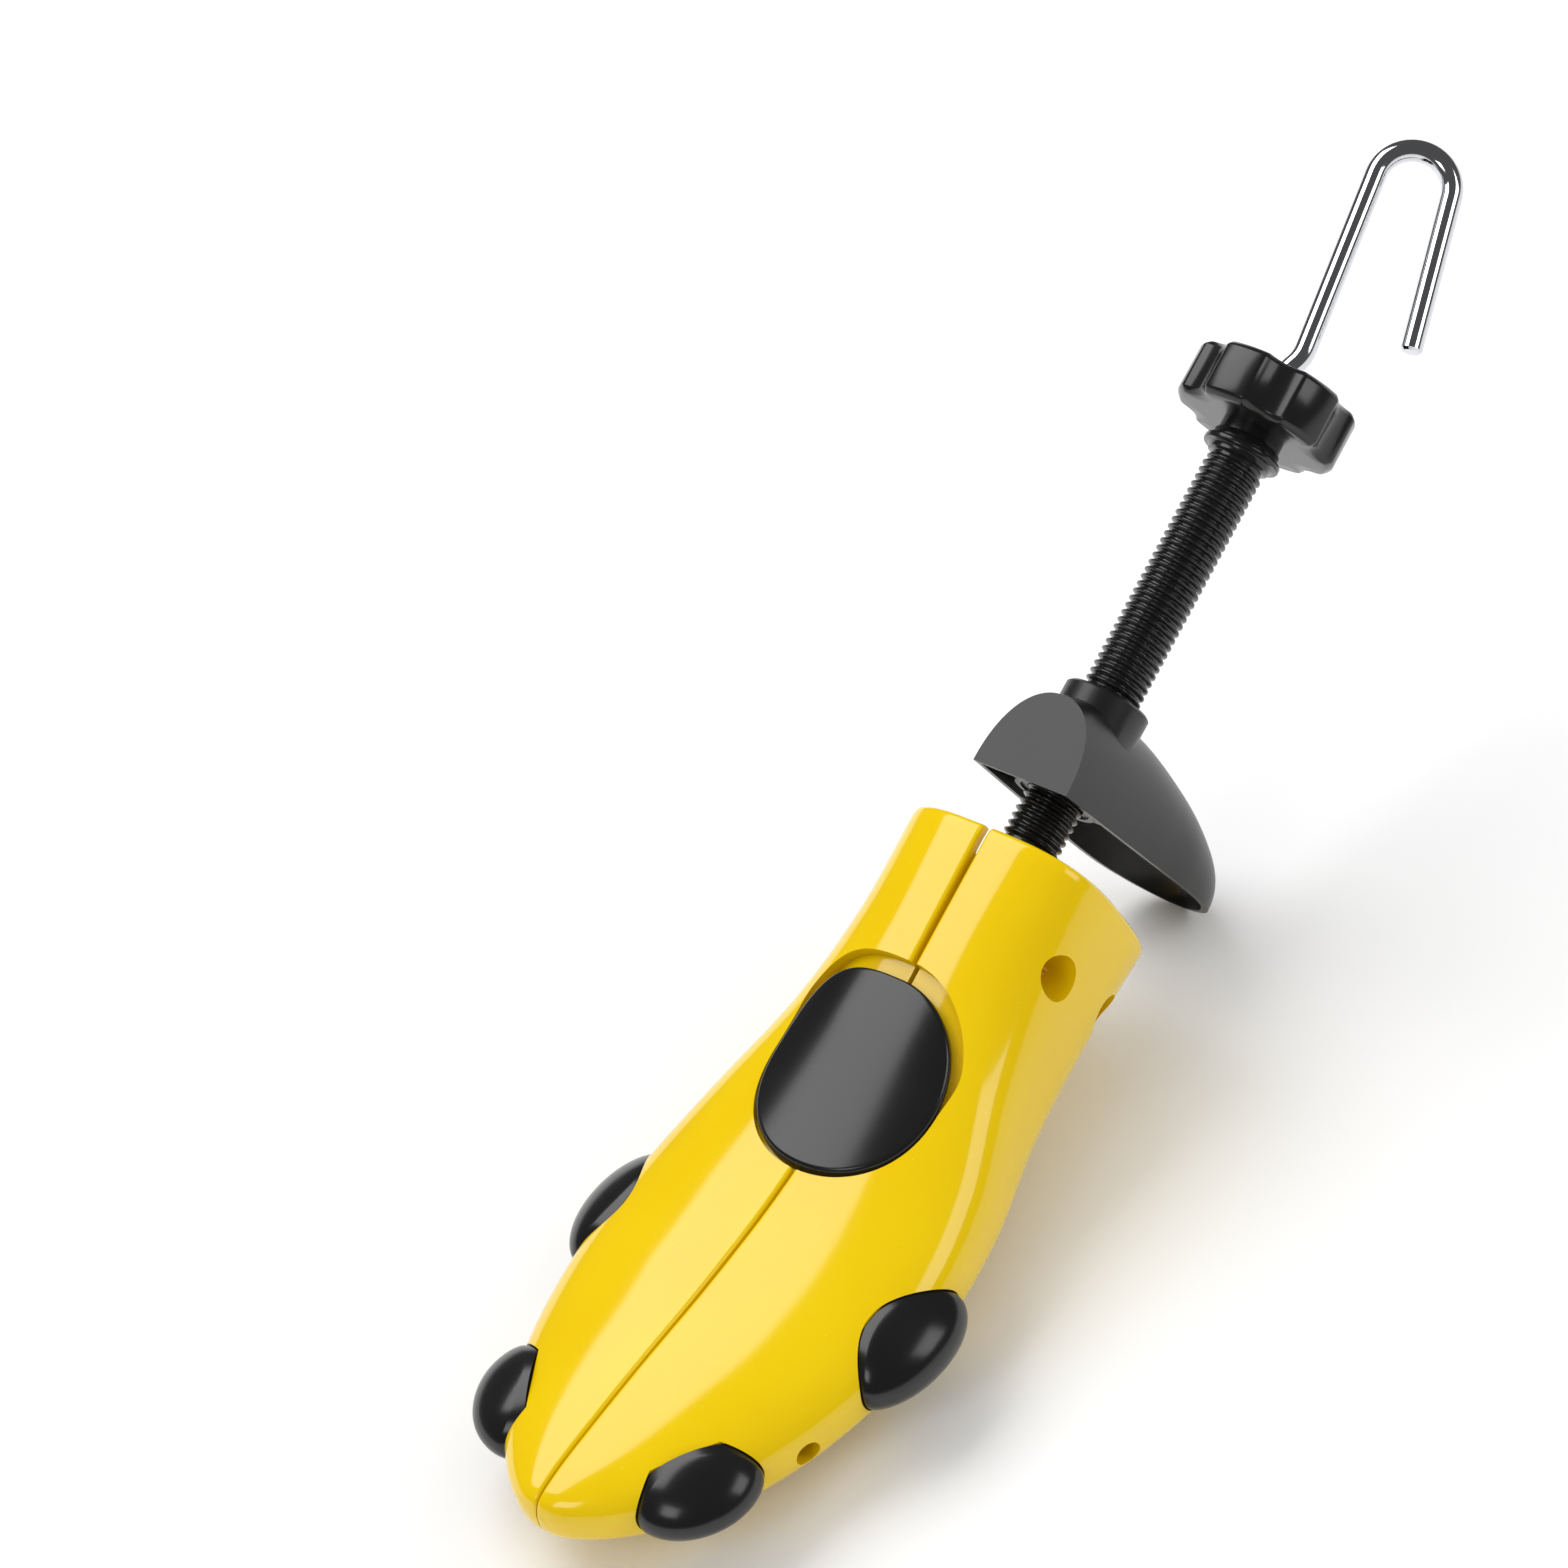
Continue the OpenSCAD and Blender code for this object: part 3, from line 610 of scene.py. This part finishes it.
def threaded(name, before, start, end, after, radius, pitch, depth, bore, steps=72,
             rows_per_pitch=10):
    """Profile before, a thread from start to end, profile after, joined by a bore."""
    rows = int((end - start) / pitch * rows_per_pitch)
    a = np.linspace(start, end, rows)
    turn = np.linspace(0, 2 * np.pi, steps, endpoint=False)
    fade = np.clip(np.minimum(a - start, end - a) / pitch, 0, 1)[:, None]
    r = radius - (1 - fade) * depth - fade * thread_drop(a[:, None], turn[None, :], pitch, depth)
    a_all = np.concatenate([[p[0] for p in before], a, [p[0] for p in after]])
    r_all = np.vstack([np.repeat([[p[1]] for p in before], steps, 1), r,
                       np.repeat([[p[1]] for p in after], steps, 1)])
    a_all = np.concatenate([a_all, [a_all[-1], a_all[0]]])
    r_all = np.vstack([r_all, np.full((2, steps), bore)])
    rings = np.stack([r_all * np.cos(turn), np.repeat(a_all[:, None], steps, 1),
                      r_all * np.sin(turn)], -1)
    return skin(name, from_spindle(rings), wrap_rows=True, smooth_angle=50)


journal = [(-26, 6.2), (-25.8, 6.4), (-23.7, 6.4), (-23.7, 5.7), (-22.5, 5.7),
           (-22.5, 6.4), (-0.8, 6.4), (-0.8, 6.7), (-0.5, 7.0), (5, 7.0), (5.4, 6.7)]
hub = [(113.4, 6.7), (113.6, 8.0), (114.8, 8.0), (115, 8.2), (115, 9.8), (115.3, 10),
       (116.3, 10), (116.6, 9.8), (116.6, 8.6), (118.6, 8.6), (118.9, 8.3), (118.9, 8.0),
       (121.5, 8.0), (121.5, 5.5), (133.3, 5.5)]
spindle = threaded("spindle_skin", journal, 5.5, 113.2, hub, SPINDLE_RADIUS, PITCH,
                   THREAD_DEPTH, BORE)
tell(spindle)

# %% [markdown]
# ## The star knob
# The knob is one outline, six broad lobes with scooped flutes between them, carried
# along the spindle. Near both ends the outline steps in to round the edges.

# %% Knob
KNOB_RADIUS, KNOB_FRONT, KNOB_BACK, LOBES = 21.0, 121.5, 136.0, 6


def knob_outline(turn):
    """Radius at an angle: the smaller of the rim circle and a scoop between two lobes."""
    step = 2 * np.pi / LOBES
    off = (turn - np.pi / 2 + step) % step - step / 2
    scoop_at, scoop = KNOB_RADIUS * 1.31, KNOB_RADIUS * 0.42
    reach = scoop ** 2 - (scoop_at * np.sin(off)) ** 2
    cut = scoop_at * np.cos(off) - np.sqrt(np.clip(reach, 0, None))
    return np.where(reach > 0, np.minimum(KNOB_RADIUS, cut), KNOB_RADIUS)


def knob_skin(name):
    """Rows are place, fixed radius or step in from the outline; the last ones make the bore."""
    count = 432
    turn = np.linspace(0, 2 * np.pi, count, endpoint=False)
    fine = knob_outline(turn)
    window = np.hanning(9)
    fine = np.convolve(np.concatenate([fine[-4:], fine, fine[:4]]), window / window.sum(),
                       "valid")
    rows = [(KNOB_FRONT, 8.2, None), (KNOB_FRONT, None, 5.0), (KNOB_FRONT, None, 1.7),
            (KNOB_FRONT + 0.2, None, 1.2), (KNOB_FRONT + 1.2, None, 0.2),
            (KNOB_FRONT + 1.6, None, 0.0), (KNOB_BACK - 1.6, None, 0.0),
            (KNOB_BACK - 1.2, None, 0.2), (KNOB_BACK - 0.2, None, 1.2),
            (KNOB_BACK, None, 1.7), (KNOB_BACK, None, 6.0), (KNOB_BACK, 8.3, None),
            (KNOB_BACK - 0.3, 8.0, None), (KNOB_BACK - 1.0, 8.0, None),
            (KNOB_BACK - 1.0, 3.2, None), (KNOB_BACK - 2.5, 3.2, None),
            (KNOB_BACK - 2.5, 5.5, None), (KNOB_FRONT, 5.5, None)]
    rings = []
    for a, fixed, inset in rows:
        r = np.full(count, fixed) if fixed else fine - inset
        rings.append(np.stack([r * np.cos(turn), np.full(count, a), r * np.sin(turn)], -1))
    return skin(name, from_spindle(rings), wrap_rows=True, smooth_angle=28)


knob = knob_skin("star_knob_skin")
tell(knob)

# %% [markdown]
# ## The heel block
# A thin-walled cup, open towards the shell. Its back is the counter of a shoe, its top a
# flat D-shaped face. The outer and the inner skin are two lofts with the same rows. The
# boss for the spindle, a shelf and a keel are joined in.

# %% Heel block
HEEL_START, HEEL_WALL, BOSS_RADIUS = 17.2, 1.8, 11.0
FACE_SLOPE = 0.055
# height, half width, depth behind the open face
HEEL_ROWS = np.array([
    [18.5, 13.8, 22.5], [10, 14.4, 24.6], [0, 15.0, 26.0], [-15, 15.8, 26.0],
    [-30, 16.8, 24.0], [-45, 17.8, 20.5], [-58, 16.8, 15.5], [-67, 12.6, 10.5],
    [-72, 7.5, 6.5], [-74.5, 2.5, 2.8]])
HEEL_LAST = len(HEEL_ROWS) - 1


def heel_row(t):
    """Height, half width and depth at place t, by the same cubic as the foot's."""
    i = min(int(t), HEEL_LAST - 1)
    u = t - i
    p, q, r, s = (HEEL_ROWS[min(max(i + k, 0), HEEL_LAST)] for k in (-1, 0, 1, 2))
    return 0.5 * (2 * q + (r - p) * u + (2 * p - 5 * q + 4 * r - s) * u ** 2
                  + (3 * q - p - 3 * r + s) * u ** 3)


def heel_face(b):
    """Where the open face lies at height b: it leans back a little towards the tip."""
    return HEEL_START + FACE_SLOPE * (HEEL_ROWS[0, 0] - b)


def heel_ring(t, inset, cut, drop=0.0, count=90):
    """A D-shaped ring: the curved back, closed across the open face."""
    b, width, depth = heel_row(t)
    p = np.linspace(0, np.pi, count)
    width, depth = max(width - inset, 0.2), max(depth - inset, 0.2)
    x = width * power(np.cos(p), 0.9)
    a = heel_face(b) - cut + (depth + cut) * np.abs(np.sin(p)) ** 0.9
    return np.stack([x, a, np.full(count, b - drop)], -1)


def heel_solid(name, inset, cut, start, end, count=110):
    rings = [heel_ring(t, inset, cut) for t in np.linspace(start, end, count)]
    return skin(name, from_spindle(rings))


def heel_skin(name):
    """The cup with its shelf, keel and boss, and the bore through them all."""
    shell = carve(heel_solid(name, 0, 0, 0, HEEL_LAST),
                  [heel_solid("hollow", HEEL_WALL, 4, 0.24, HEEL_LAST - 0.5)])
    shelf = prism("shelf", [(-14.6, 21.2), (14.6, 21.2), (14, 32), (9, 41), (0, 44.6),
                            (-9, 41), (-14, 32)], -15.5, -13.9)
    keel_line = [(25.2, -14.5), (43.8, -14.5), (41.2, -34), (38.2, -48), (29.2, -48)]
    keel = skin("keel", [from_spindle([(x, a, b) for a, b in keel_line])
                         for x in (-0.8, 0.8)])
    boss = turned("boss", [(19.2, BOSS_RADIUS - 0.4), (19.6, BOSS_RADIUS),
                           (46.4, BOSS_RADIUS), (47, BOSS_RADIUS - 0.6)])
    shell = carve(shell, [shelf, keel, boss], "UNION")
    return carve(shell, [turned("bore", [(0, 9.2), (90, 9.2)])])


heel = heel_skin("heel_block_skin")
tell(heel)

# %% [markdown]
# ## The wire hook
# The hook is one round wire, swept along a line that leaves the spindle, kinks twice,
# runs straight and turns back through half a circle. A round section is carried along
# the line, always square to it.

# %% Hook
ROD_RADIUS = 2.75
HOOK_ANGLE = math.radians(-30)
HOOK_CENTER, HOOK_BEND = np.array([6.0, 194.5]), 9.6
HOOK_IN, HOOK_OUT, HOOK_LEG, HOOK_TAIL = 96.3, -77.0, 50.0, 40.0
ROD_FRONT = -89.0


def unit(turn):
    """A step of length 1 in the hook's plane, at an angle in degrees."""
    return np.array([math.cos(math.radians(turn)), math.sin(math.radians(turn))])


def fillet(before, corner, after, radius, steps=10):
    """Rounds a corner with a quadratic curve that starts and ends radius away from it."""
    to_before = (before - corner) / np.linalg.norm(before - corner)
    to_after = (after - corner) / np.linalg.norm(after - corner)
    s = np.linspace(0, 1, steps)[:, None]
    p, q = corner + to_before * radius, corner + to_after * radius
    return (1 - s) ** 2 * p + 2 * s * (1 - s) * corner + s ** 2 * q


def hook_line():
    """The wire's centre line in the hook's plane: (aside, along)."""
    start = HOOK_CENTER + HOOK_BEND * unit(HOOK_IN + 90)
    foot = start - HOOK_LEG * unit(HOOK_IN)
    leave = np.array([0.0, KNOB_BACK + 3.0])
    turns = np.linspace(HOOK_IN, HOOK_OUT, 48)
    arc = np.array([HOOK_CENTER + HOOK_BEND * unit(q + 90) for q in turns])
    tip = arc[-1] + HOOK_TAIL * unit(HOOK_OUT)
    front = np.array([0.0, ROD_FRONT])
    return np.vstack([[front, [0, 0], [0, KNOB_BACK]],
                      fillet(front, leave, foot, 2.4), fillet(leave, foot, start, 2.6),
                      [foot + (start - foot) * 0.5], arc,
                      [arc[-1] + (tip - arc[-1]) * 0.5, tip - 0.7 * unit(HOOK_OUT), tip]])


def sweep(line, radii, count=40):
    """Round rings square to a flat line, turned into the hook's plane."""
    ahead = np.gradient(line, axis=0)
    ahead /= np.linalg.norm(ahead, axis=1)[:, None]
    aside = np.stack([ahead[:, 1], -ahead[:, 0]], -1)
    turn = np.linspace(0, 2 * np.pi, count, endpoint=False)
    flat = line[:, None] + radii[:, None, None] * np.cos(turn)[None, :, None] * aside[:, None]
    out = radii[:, None] * np.sin(turn)[None, :]
    q, a = flat[..., 0], flat[..., 1]
    c, s = math.cos(HOOK_ANGLE), math.sin(HOOK_ANGLE)
    return np.stack([q * c - out * s, a, q * s + out * c], -1)


def hook_skin(name):
    """The whole wire, with a small chamfer at its free end."""
    line = hook_line()
    radii = np.full(len(line), ROD_RADIUS)
    radii[-1] = ROD_RADIUS - 0.6
    return skin(name, from_spindle(sweep(line, radii)), smooth_angle=30)


hook = hook_skin("wire_hook")
tell(hook)

# %% [markdown]
# ## Small turned parts
# The two brass screws of each leaf end inside the round recesses, with a slotted, threaded
# tip that shows from outside.

# %% Screws
SCREW_RADIUS, SCREW_PITCH, SCREW_DEPTH, SCREW_STEPS = 1.65, 0.6, 0.22, 40
SCREW_HEAD = [(12.0, 2.6), (12.3, 3.0), (13.9, 3.0), (14.0, 2.9), (14.0, SCREW_RADIUS),
              (16.0, SCREW_RADIUS)]
SCREW_TIP = [(23.45, 1.4), (23.6, 1.2)]


def screw_skin(name, a, b):
    """A threaded shank along X with a pan head inside and a slotted tip outside."""
    turn = np.linspace(0, 2 * np.pi, SCREW_STEPS, endpoint=False)
    x = np.linspace(16.2, 23.4, 90)
    r = SCREW_RADIUS - thread_drop(x[:, None], turn[None, :], SCREW_PITCH, SCREW_DEPTH)
    xs = np.concatenate([[h[0] for h in SCREW_HEAD], x, [h[0] for h in SCREW_TIP]])
    rs = np.vstack([np.repeat([[h[1]] for h in SCREW_HEAD], SCREW_STEPS, 1), r,
                    np.repeat([[h[1]] for h in SCREW_TIP], SCREW_STEPS, 1)])
    rings = np.stack([np.repeat(xs[:, None], SCREW_STEPS, 1), a + rs * np.cos(turn),
                      b + rs * np.sin(turn)], -1)
    screw = skin(name, from_spindle(rings))
    slot = block("slot", (22.8, a - 0.3, b - 3), (25, a + 0.3, b + 3))
    return carve(screw, [slot])


screws = {}
for label, (a, b) in zip(("upper", "lower"), SCREW_SPOTS):
    screws["right_" + label] = screw_skin("leaf_screw_right_" + label, a, b)
    screws["left_" + label] = mirrored(screws["right_" + label], "leaf_screw_left_" + label)
tell(*screws.values())

# %% [markdown]
# ## Which body each piece rides on
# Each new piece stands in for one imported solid, so the solid is hidden and the piece takes
# over its body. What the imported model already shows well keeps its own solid: the yoke,
# the hinge leaves and pins, the coil, the wedge and its nut, the collar and the washer.


# %% Hang the pieces on the bodies
def lay_over(piece, body, slot, *nodes):
    """The piece rides on a body, hides the solids it stands for and names its finish."""
    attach(piece, body)
    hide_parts(*nodes)
    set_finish(piece, slot)
    return piece


lay_over(half_right, "shell_right", "shell_yellow", "half_shell_right")
lay_over(half_left, "shell_left", "shell_yellow", "half_shell_left")
lay_over(pad, "frame", "black_gloss", "instep_pad")
for label, plug in plugs.items():
    lay_over(plug, "plug_" + label + "_body", "black_gloss", "plug_" + label)
lay_over(spindle, "spindle", "black_gloss", "spindle_tube")
lay_over(knob, "spindle", "black_gloss", "star_knob")
lay_over(heel, "heel", "black_satin", "heel_block")
lay_over(hook, "rod", "chrome_wire", "hook_rod")
for label, screw in screws.items():
    side = label.split("_")[0]
    lay_over(screw, "shell_" + side, "brass", "leaf_screws_" + side)

# %% [markdown]
# ## Writing shader maths as plain sums
# A finish is a few numbers that vary a little over the surface. To keep them readable, a
# small class wraps a node's output, so that a sum of two outputs makes the Math node that
# it stands for.


# %% Socket wrapper
class Wire:
    """An output socket, or a plain number or colour, inside one node tree."""

    def __init__(self, tree, value):
        self.tree, self.value = tree, value

    def node(self, kind, output=0, settings=None, **sockets):
        """Any node: its type, its settings by name and its sockets by name or number."""
        made = self.tree.nodes.new(kind)
        for key, value in (settings or {}).items():
            setattr(made, key, value)
        for key, value in sockets.items():
            name = int(key[1:]) if key[0] == "s" and key[1:].isdigit() else key.replace("_", " ")
            self.feed(made.inputs[name], value)
        return Wire(self.tree, made.outputs[output])

    def feed(self, socket, value):
        value = value.value if isinstance(value, Wire) else value
        if isinstance(value, bpy.types.NodeSocket):
            self.tree.links.new(value, socket)
        elif np.ndim(value) == 1 and socket.type == "RGBA":
            socket.default_value = (*value[:3], 1.0)
        else:
            socket.default_value = value

    def combine(self, other, operation):
        return self.node("ShaderNodeMath", settings={"operation": operation}, s0=self, s1=other)

    def __add__(self, other):
        return self.combine(other, "ADD")

    __radd__ = __add__

    def __sub__(self, other):
        return self.combine(other, "SUBTRACT")

    def __mul__(self, other):
        return self.combine(other, "MULTIPLY")

    def between(self, low, high):
        """0 below low, 1 above high, straight in between."""
        return self.node("ShaderNodeMapRange", Value=self, From_Min=low, From_Max=high)

    def mix(self, first, second):
        """The first colour where this number is 0, the second where it is 1."""
        return self.node("ShaderNodeMix", 2, {"data_type": "RGBA"}, s0=self, s6=first,
                         s7=second)


def noise(tree, scale, detail=2.0):
    """A soft random number from 0 to 1 at each point of the object, scale in cells a metre."""
    start = Wire(tree, 0.0)
    point = start.node("ShaderNodeTexCoord", "Object")
    return start.node("ShaderNodeTexNoise", "Fac", Vector=point, Scale=scale, Detail=detail)


def finish_of(name, **constants):
    """A new material: returns it, a wire in its tree and its main shader's inputs."""
    material = bpy.data.materials.new(name)
    material.use_nodes = True
    shader = material.node_tree.nodes["Principled BSDF"]
    for key, value in constants.items():
        socket = shader.inputs[key.replace("_", " ")]
        socket.default_value = (*value, 1.0) if np.ndim(value) else value
    return material, Wire(material.node_tree, 0.0), shader.inputs


def rgb(red, green, blue):
    """A colour given in screen values (0 to 255), as linear light."""
    c = np.array([red, green, blue]) / 255
    return tuple(np.where(c <= 0.04045, c / 12.92, ((c + 0.055) / 1.055) ** 2.4).tolist())


# %% [markdown]
# ## The finishes
# Yellow: polystyrene with the gloss of a polished mould. A second mould surface never is
# perfectly even, so its roughness wanders a little and a few pale specks lie in the skin.


# %% Yellow moulded plastic
def yellow_plastic():
    """Two close yellows in soft clouds, a few pale specks and a faint ripple."""
    material, wire, inputs = finish_of("yellow_moulded_plastic", IOR=1.5,
                                       Coat_Weight=0.1, Coat_Roughness=0.05)
    tree = material.node_tree
    cloud = noise(tree, 22.0, 3.0)
    speck = noise(tree, 1400.0, 1.0).between(0.765, 0.80)
    tone = cloud.between(0.3, 0.7).mix(rgb(231, 192, 0), rgb(236, 200, 2))
    wire.feed(inputs["Base Color"], (speck * 0.55).mix(tone, rgb(250, 232, 120)))
    wire.feed(inputs["Roughness"], 0.08 + cloud * 0.05)
    ripple = noise(tree, 60.0, 1.0)
    wire.feed(inputs["Normal"], wire.node("ShaderNodeBump", Strength=0.06, Distance=0.0006,
                                          Height=ripple))
    return material


# %% [markdown]
# Black: two polishes of the same nylon. The gloss one is on the pad, the plugs, the
# spindle and the knob; the satin one, with a finely eroded mould, is on the heel block.


# %% Black plastics
def black_plastic(name, roughness, grain, grain_height):
    """Near black; grain is how fine the mould's texture is and grain_height how deep."""
    material, wire, inputs = finish_of(name, IOR=1.52)
    tree = material.node_tree
    cloud = noise(tree, 35.0, 3.0)
    wire.feed(inputs["Base Color"], cloud.mix((0.006, 0.006, 0.006), (0.012, 0.012, 0.012)))
    wire.feed(inputs["Roughness"], roughness + (cloud - 0.5) * 0.08)
    fine = noise(tree, grain, 2.0)
    wire.feed(inputs["Normal"], wire.node("ShaderNodeBump", Strength=0.25,
                                          Distance=grain_height, Height=fine))
    return material


# %% [markdown]
# Metals: bright chromed wire, duller zinc on the hinge parts, and brass screws. Each has a
# fine grain, in which the duller spots are the rougher ones.

# %% Metals
METAL_GRAIN = 900.0


def metal(name, colour, roughness, spread):
    """A metal whose roughness grows by spread, and whose colour dulls, with the grain."""
    material, wire, inputs = finish_of(name, Metallic=1.0)
    grain = noise(material.node_tree, METAL_GRAIN)
    dull = tuple(c * 0.9 for c in colour)
    wire.feed(inputs["Base Color"], grain.mix(colour, dull))
    wire.feed(inputs["Roughness"], roughness + grain * spread)
    return material


finishes = {
    "shell_yellow": yellow_plastic(),
    "black_gloss": black_plastic("black_gloss_plastic", 0.2, 900.0, 0.00003),
    "black_satin": black_plastic("black_satin_plastic", 0.34, 2600.0, 0.00006),
    "chrome_wire": metal("bright_chromed_wire", rgb(225, 226, 230), 0.05, 0.06),
    "zinc_steel": metal("zinc_plated_steel", rgb(190, 192, 195), 0.24, 0.14),
    "brass": metal("turned_brass", rgb(226, 190, 110), 0.18, 0.14),
}


def paint(piece, material):
    """The piece's only material slot gets this material."""
    piece.data.materials.clear()
    piece.data.materials.append(material)


for piece in [half_right, half_left, pad, *plugs.values(), spindle, knob, heel, hook,
              *screws.values()]:
    paint(piece, finishes[piece["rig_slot"]])
slots_of = {"bearing_yoke": "black_satin", "heel_bush": "black_satin",
            "hinge_leaf_left": "zinc_steel", "hinge_leaf_right": "zinc_steel",
            "hinge_pin_upper": "zinc_steel", "hinge_pin_lower": "zinc_steel",
            "spring_coil": "zinc_steel", "snap_ring": "zinc_steel",
            "rod_collar": "zinc_steel", "rod_washer": "zinc_steel",
            "spreading_wedge": "black_satin", "wedge_nut": "brass"}
for node, slot in slots_of.items():
    paint(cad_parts[node], finishes[slot])
print("finishes:", ", ".join(sorted(finishes)))

# %% [markdown]
# ## Light, floor and camera
# The photo is a packshot on white. One broad, long panel above and to the left lays the
# pale band with crisp edges along the top of the foot and over the pad, and two smaller
# panels fill in. The floor is white and keeps a soft shadow. The gloss mirrors a dim
# surround, so the black parts stay black.

# %% Floor and surround
FLOOR_SIZE = 6.0
SOFT_LIGHT, MIRRORED_LIGHT, WHITE = (0.62,) * 3, (0.09,) * 3, (1.0,) * 3


def stage_floor():
    """A white square at the object's lowest point."""
    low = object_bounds()[0][2]
    mesh = bpy.data.meshes.new("floor")
    corners = [(-1, -1), (1, -1), (1, 1), (-1, 1)]
    mesh.from_pydata([(x * FLOOR_SIZE, y * FLOOR_SIZE, low) for x, y in corners], [],
                     [(0, 1, 2, 3)])
    floor = bpy.data.objects.new("floor", mesh)
    bpy.context.scene.collection.objects.link(floor)
    material, _, _ = finish_of("white_floor", Base_Color=(0.93, 0.93, 0.93), Roughness=0.9)
    mesh.materials.append(material)


def surround():
    """White for the camera, soft grey as light on matt surfaces, dim where gloss mirrors it."""
    world = bpy.data.worlds.new("surround")
    bpy.context.scene.world = world
    world.use_nodes = True
    tree = world.node_tree
    wire = Wire(tree, 0.0)
    path = tree.nodes.new("ShaderNodeLightPath")
    camera = Wire(tree, path.outputs["Is Camera Ray"])
    glossy = Wire(tree, path.outputs["Is Glossy Ray"])
    light = glossy.mix(SOFT_LIGHT, MIRRORED_LIGHT)
    wire.feed(tree.nodes["Background"].inputs["Color"], camera.mix(light, WHITE))


def lamp(name, place, target, width, height, watts):
    """A soft panel at place, in metres, that faces the target; its width lies level."""
    data = bpy.data.lights.new(name, "AREA")
    data.shape = "RECTANGLE"
    data.size, data.size_y = width, height
    data.energy = watts
    lamp_object = bpy.data.objects.new(name, data)
    bpy.context.scene.collection.objects.link(lamp_object)
    place = np.asarray(place, float)
    back = place - np.asarray(target, float)
    back /= np.linalg.norm(back)
    side = np.cross([0.0, 0.0, 1.0], back)
    side /= np.linalg.norm(side)
    up = np.cross(back, side)
    turn = np.eye(4)
    turn[:3, 0], turn[:3, 1], turn[:3, 2], turn[:3, 3] = side, up, back, place
    lamp_object.matrix_world = Matrix(turn.tolist())


stage_floor()
surround()
MIDDLE = (0.0, 0.0, 0.05)
lamp("key", (-0.62, 0.05, 1.05), MIDDLE, 1.2, 0.75, 9.0)
lamp("fill", (1.2, 0.6, 0.9), MIDDLE, 0.7, 0.7, 4.0)
lamp("front", (0.1, -1.2, 1.1), MIDDLE, 0.5, 0.5, 2.5)


# %% Camera
LENS, SENSOR = 124.46, 36.0


def photo_camera():
    """The photo's viewpoint, matched by its edges; columns are right, up, back and place."""
    data = bpy.data.cameras.new("photo_camera")
    data.lens, data.sensor_width = LENS, SENSOR
    camera = bpy.data.objects.new("photo_camera", data)
    bpy.context.scene.collection.objects.link(camera)
    matrix = np.eye(4)
    matrix[:3, 0] = (0.76524, 0.61421, -0.19275)
    matrix[:3, 1] = (-0.31598, 0.61925, 0.71881)
    matrix[:3, 2] = (0.56086, -0.48916, 0.66795)
    matrix[:3, 3] = (0.67335, -0.65095, 0.94354)
    camera.matrix_world = Matrix(matrix.tolist())
    bpy.context.scene.camera = camera


photo_camera()
bpy.context.scene.view_settings.view_transform = "Standard"
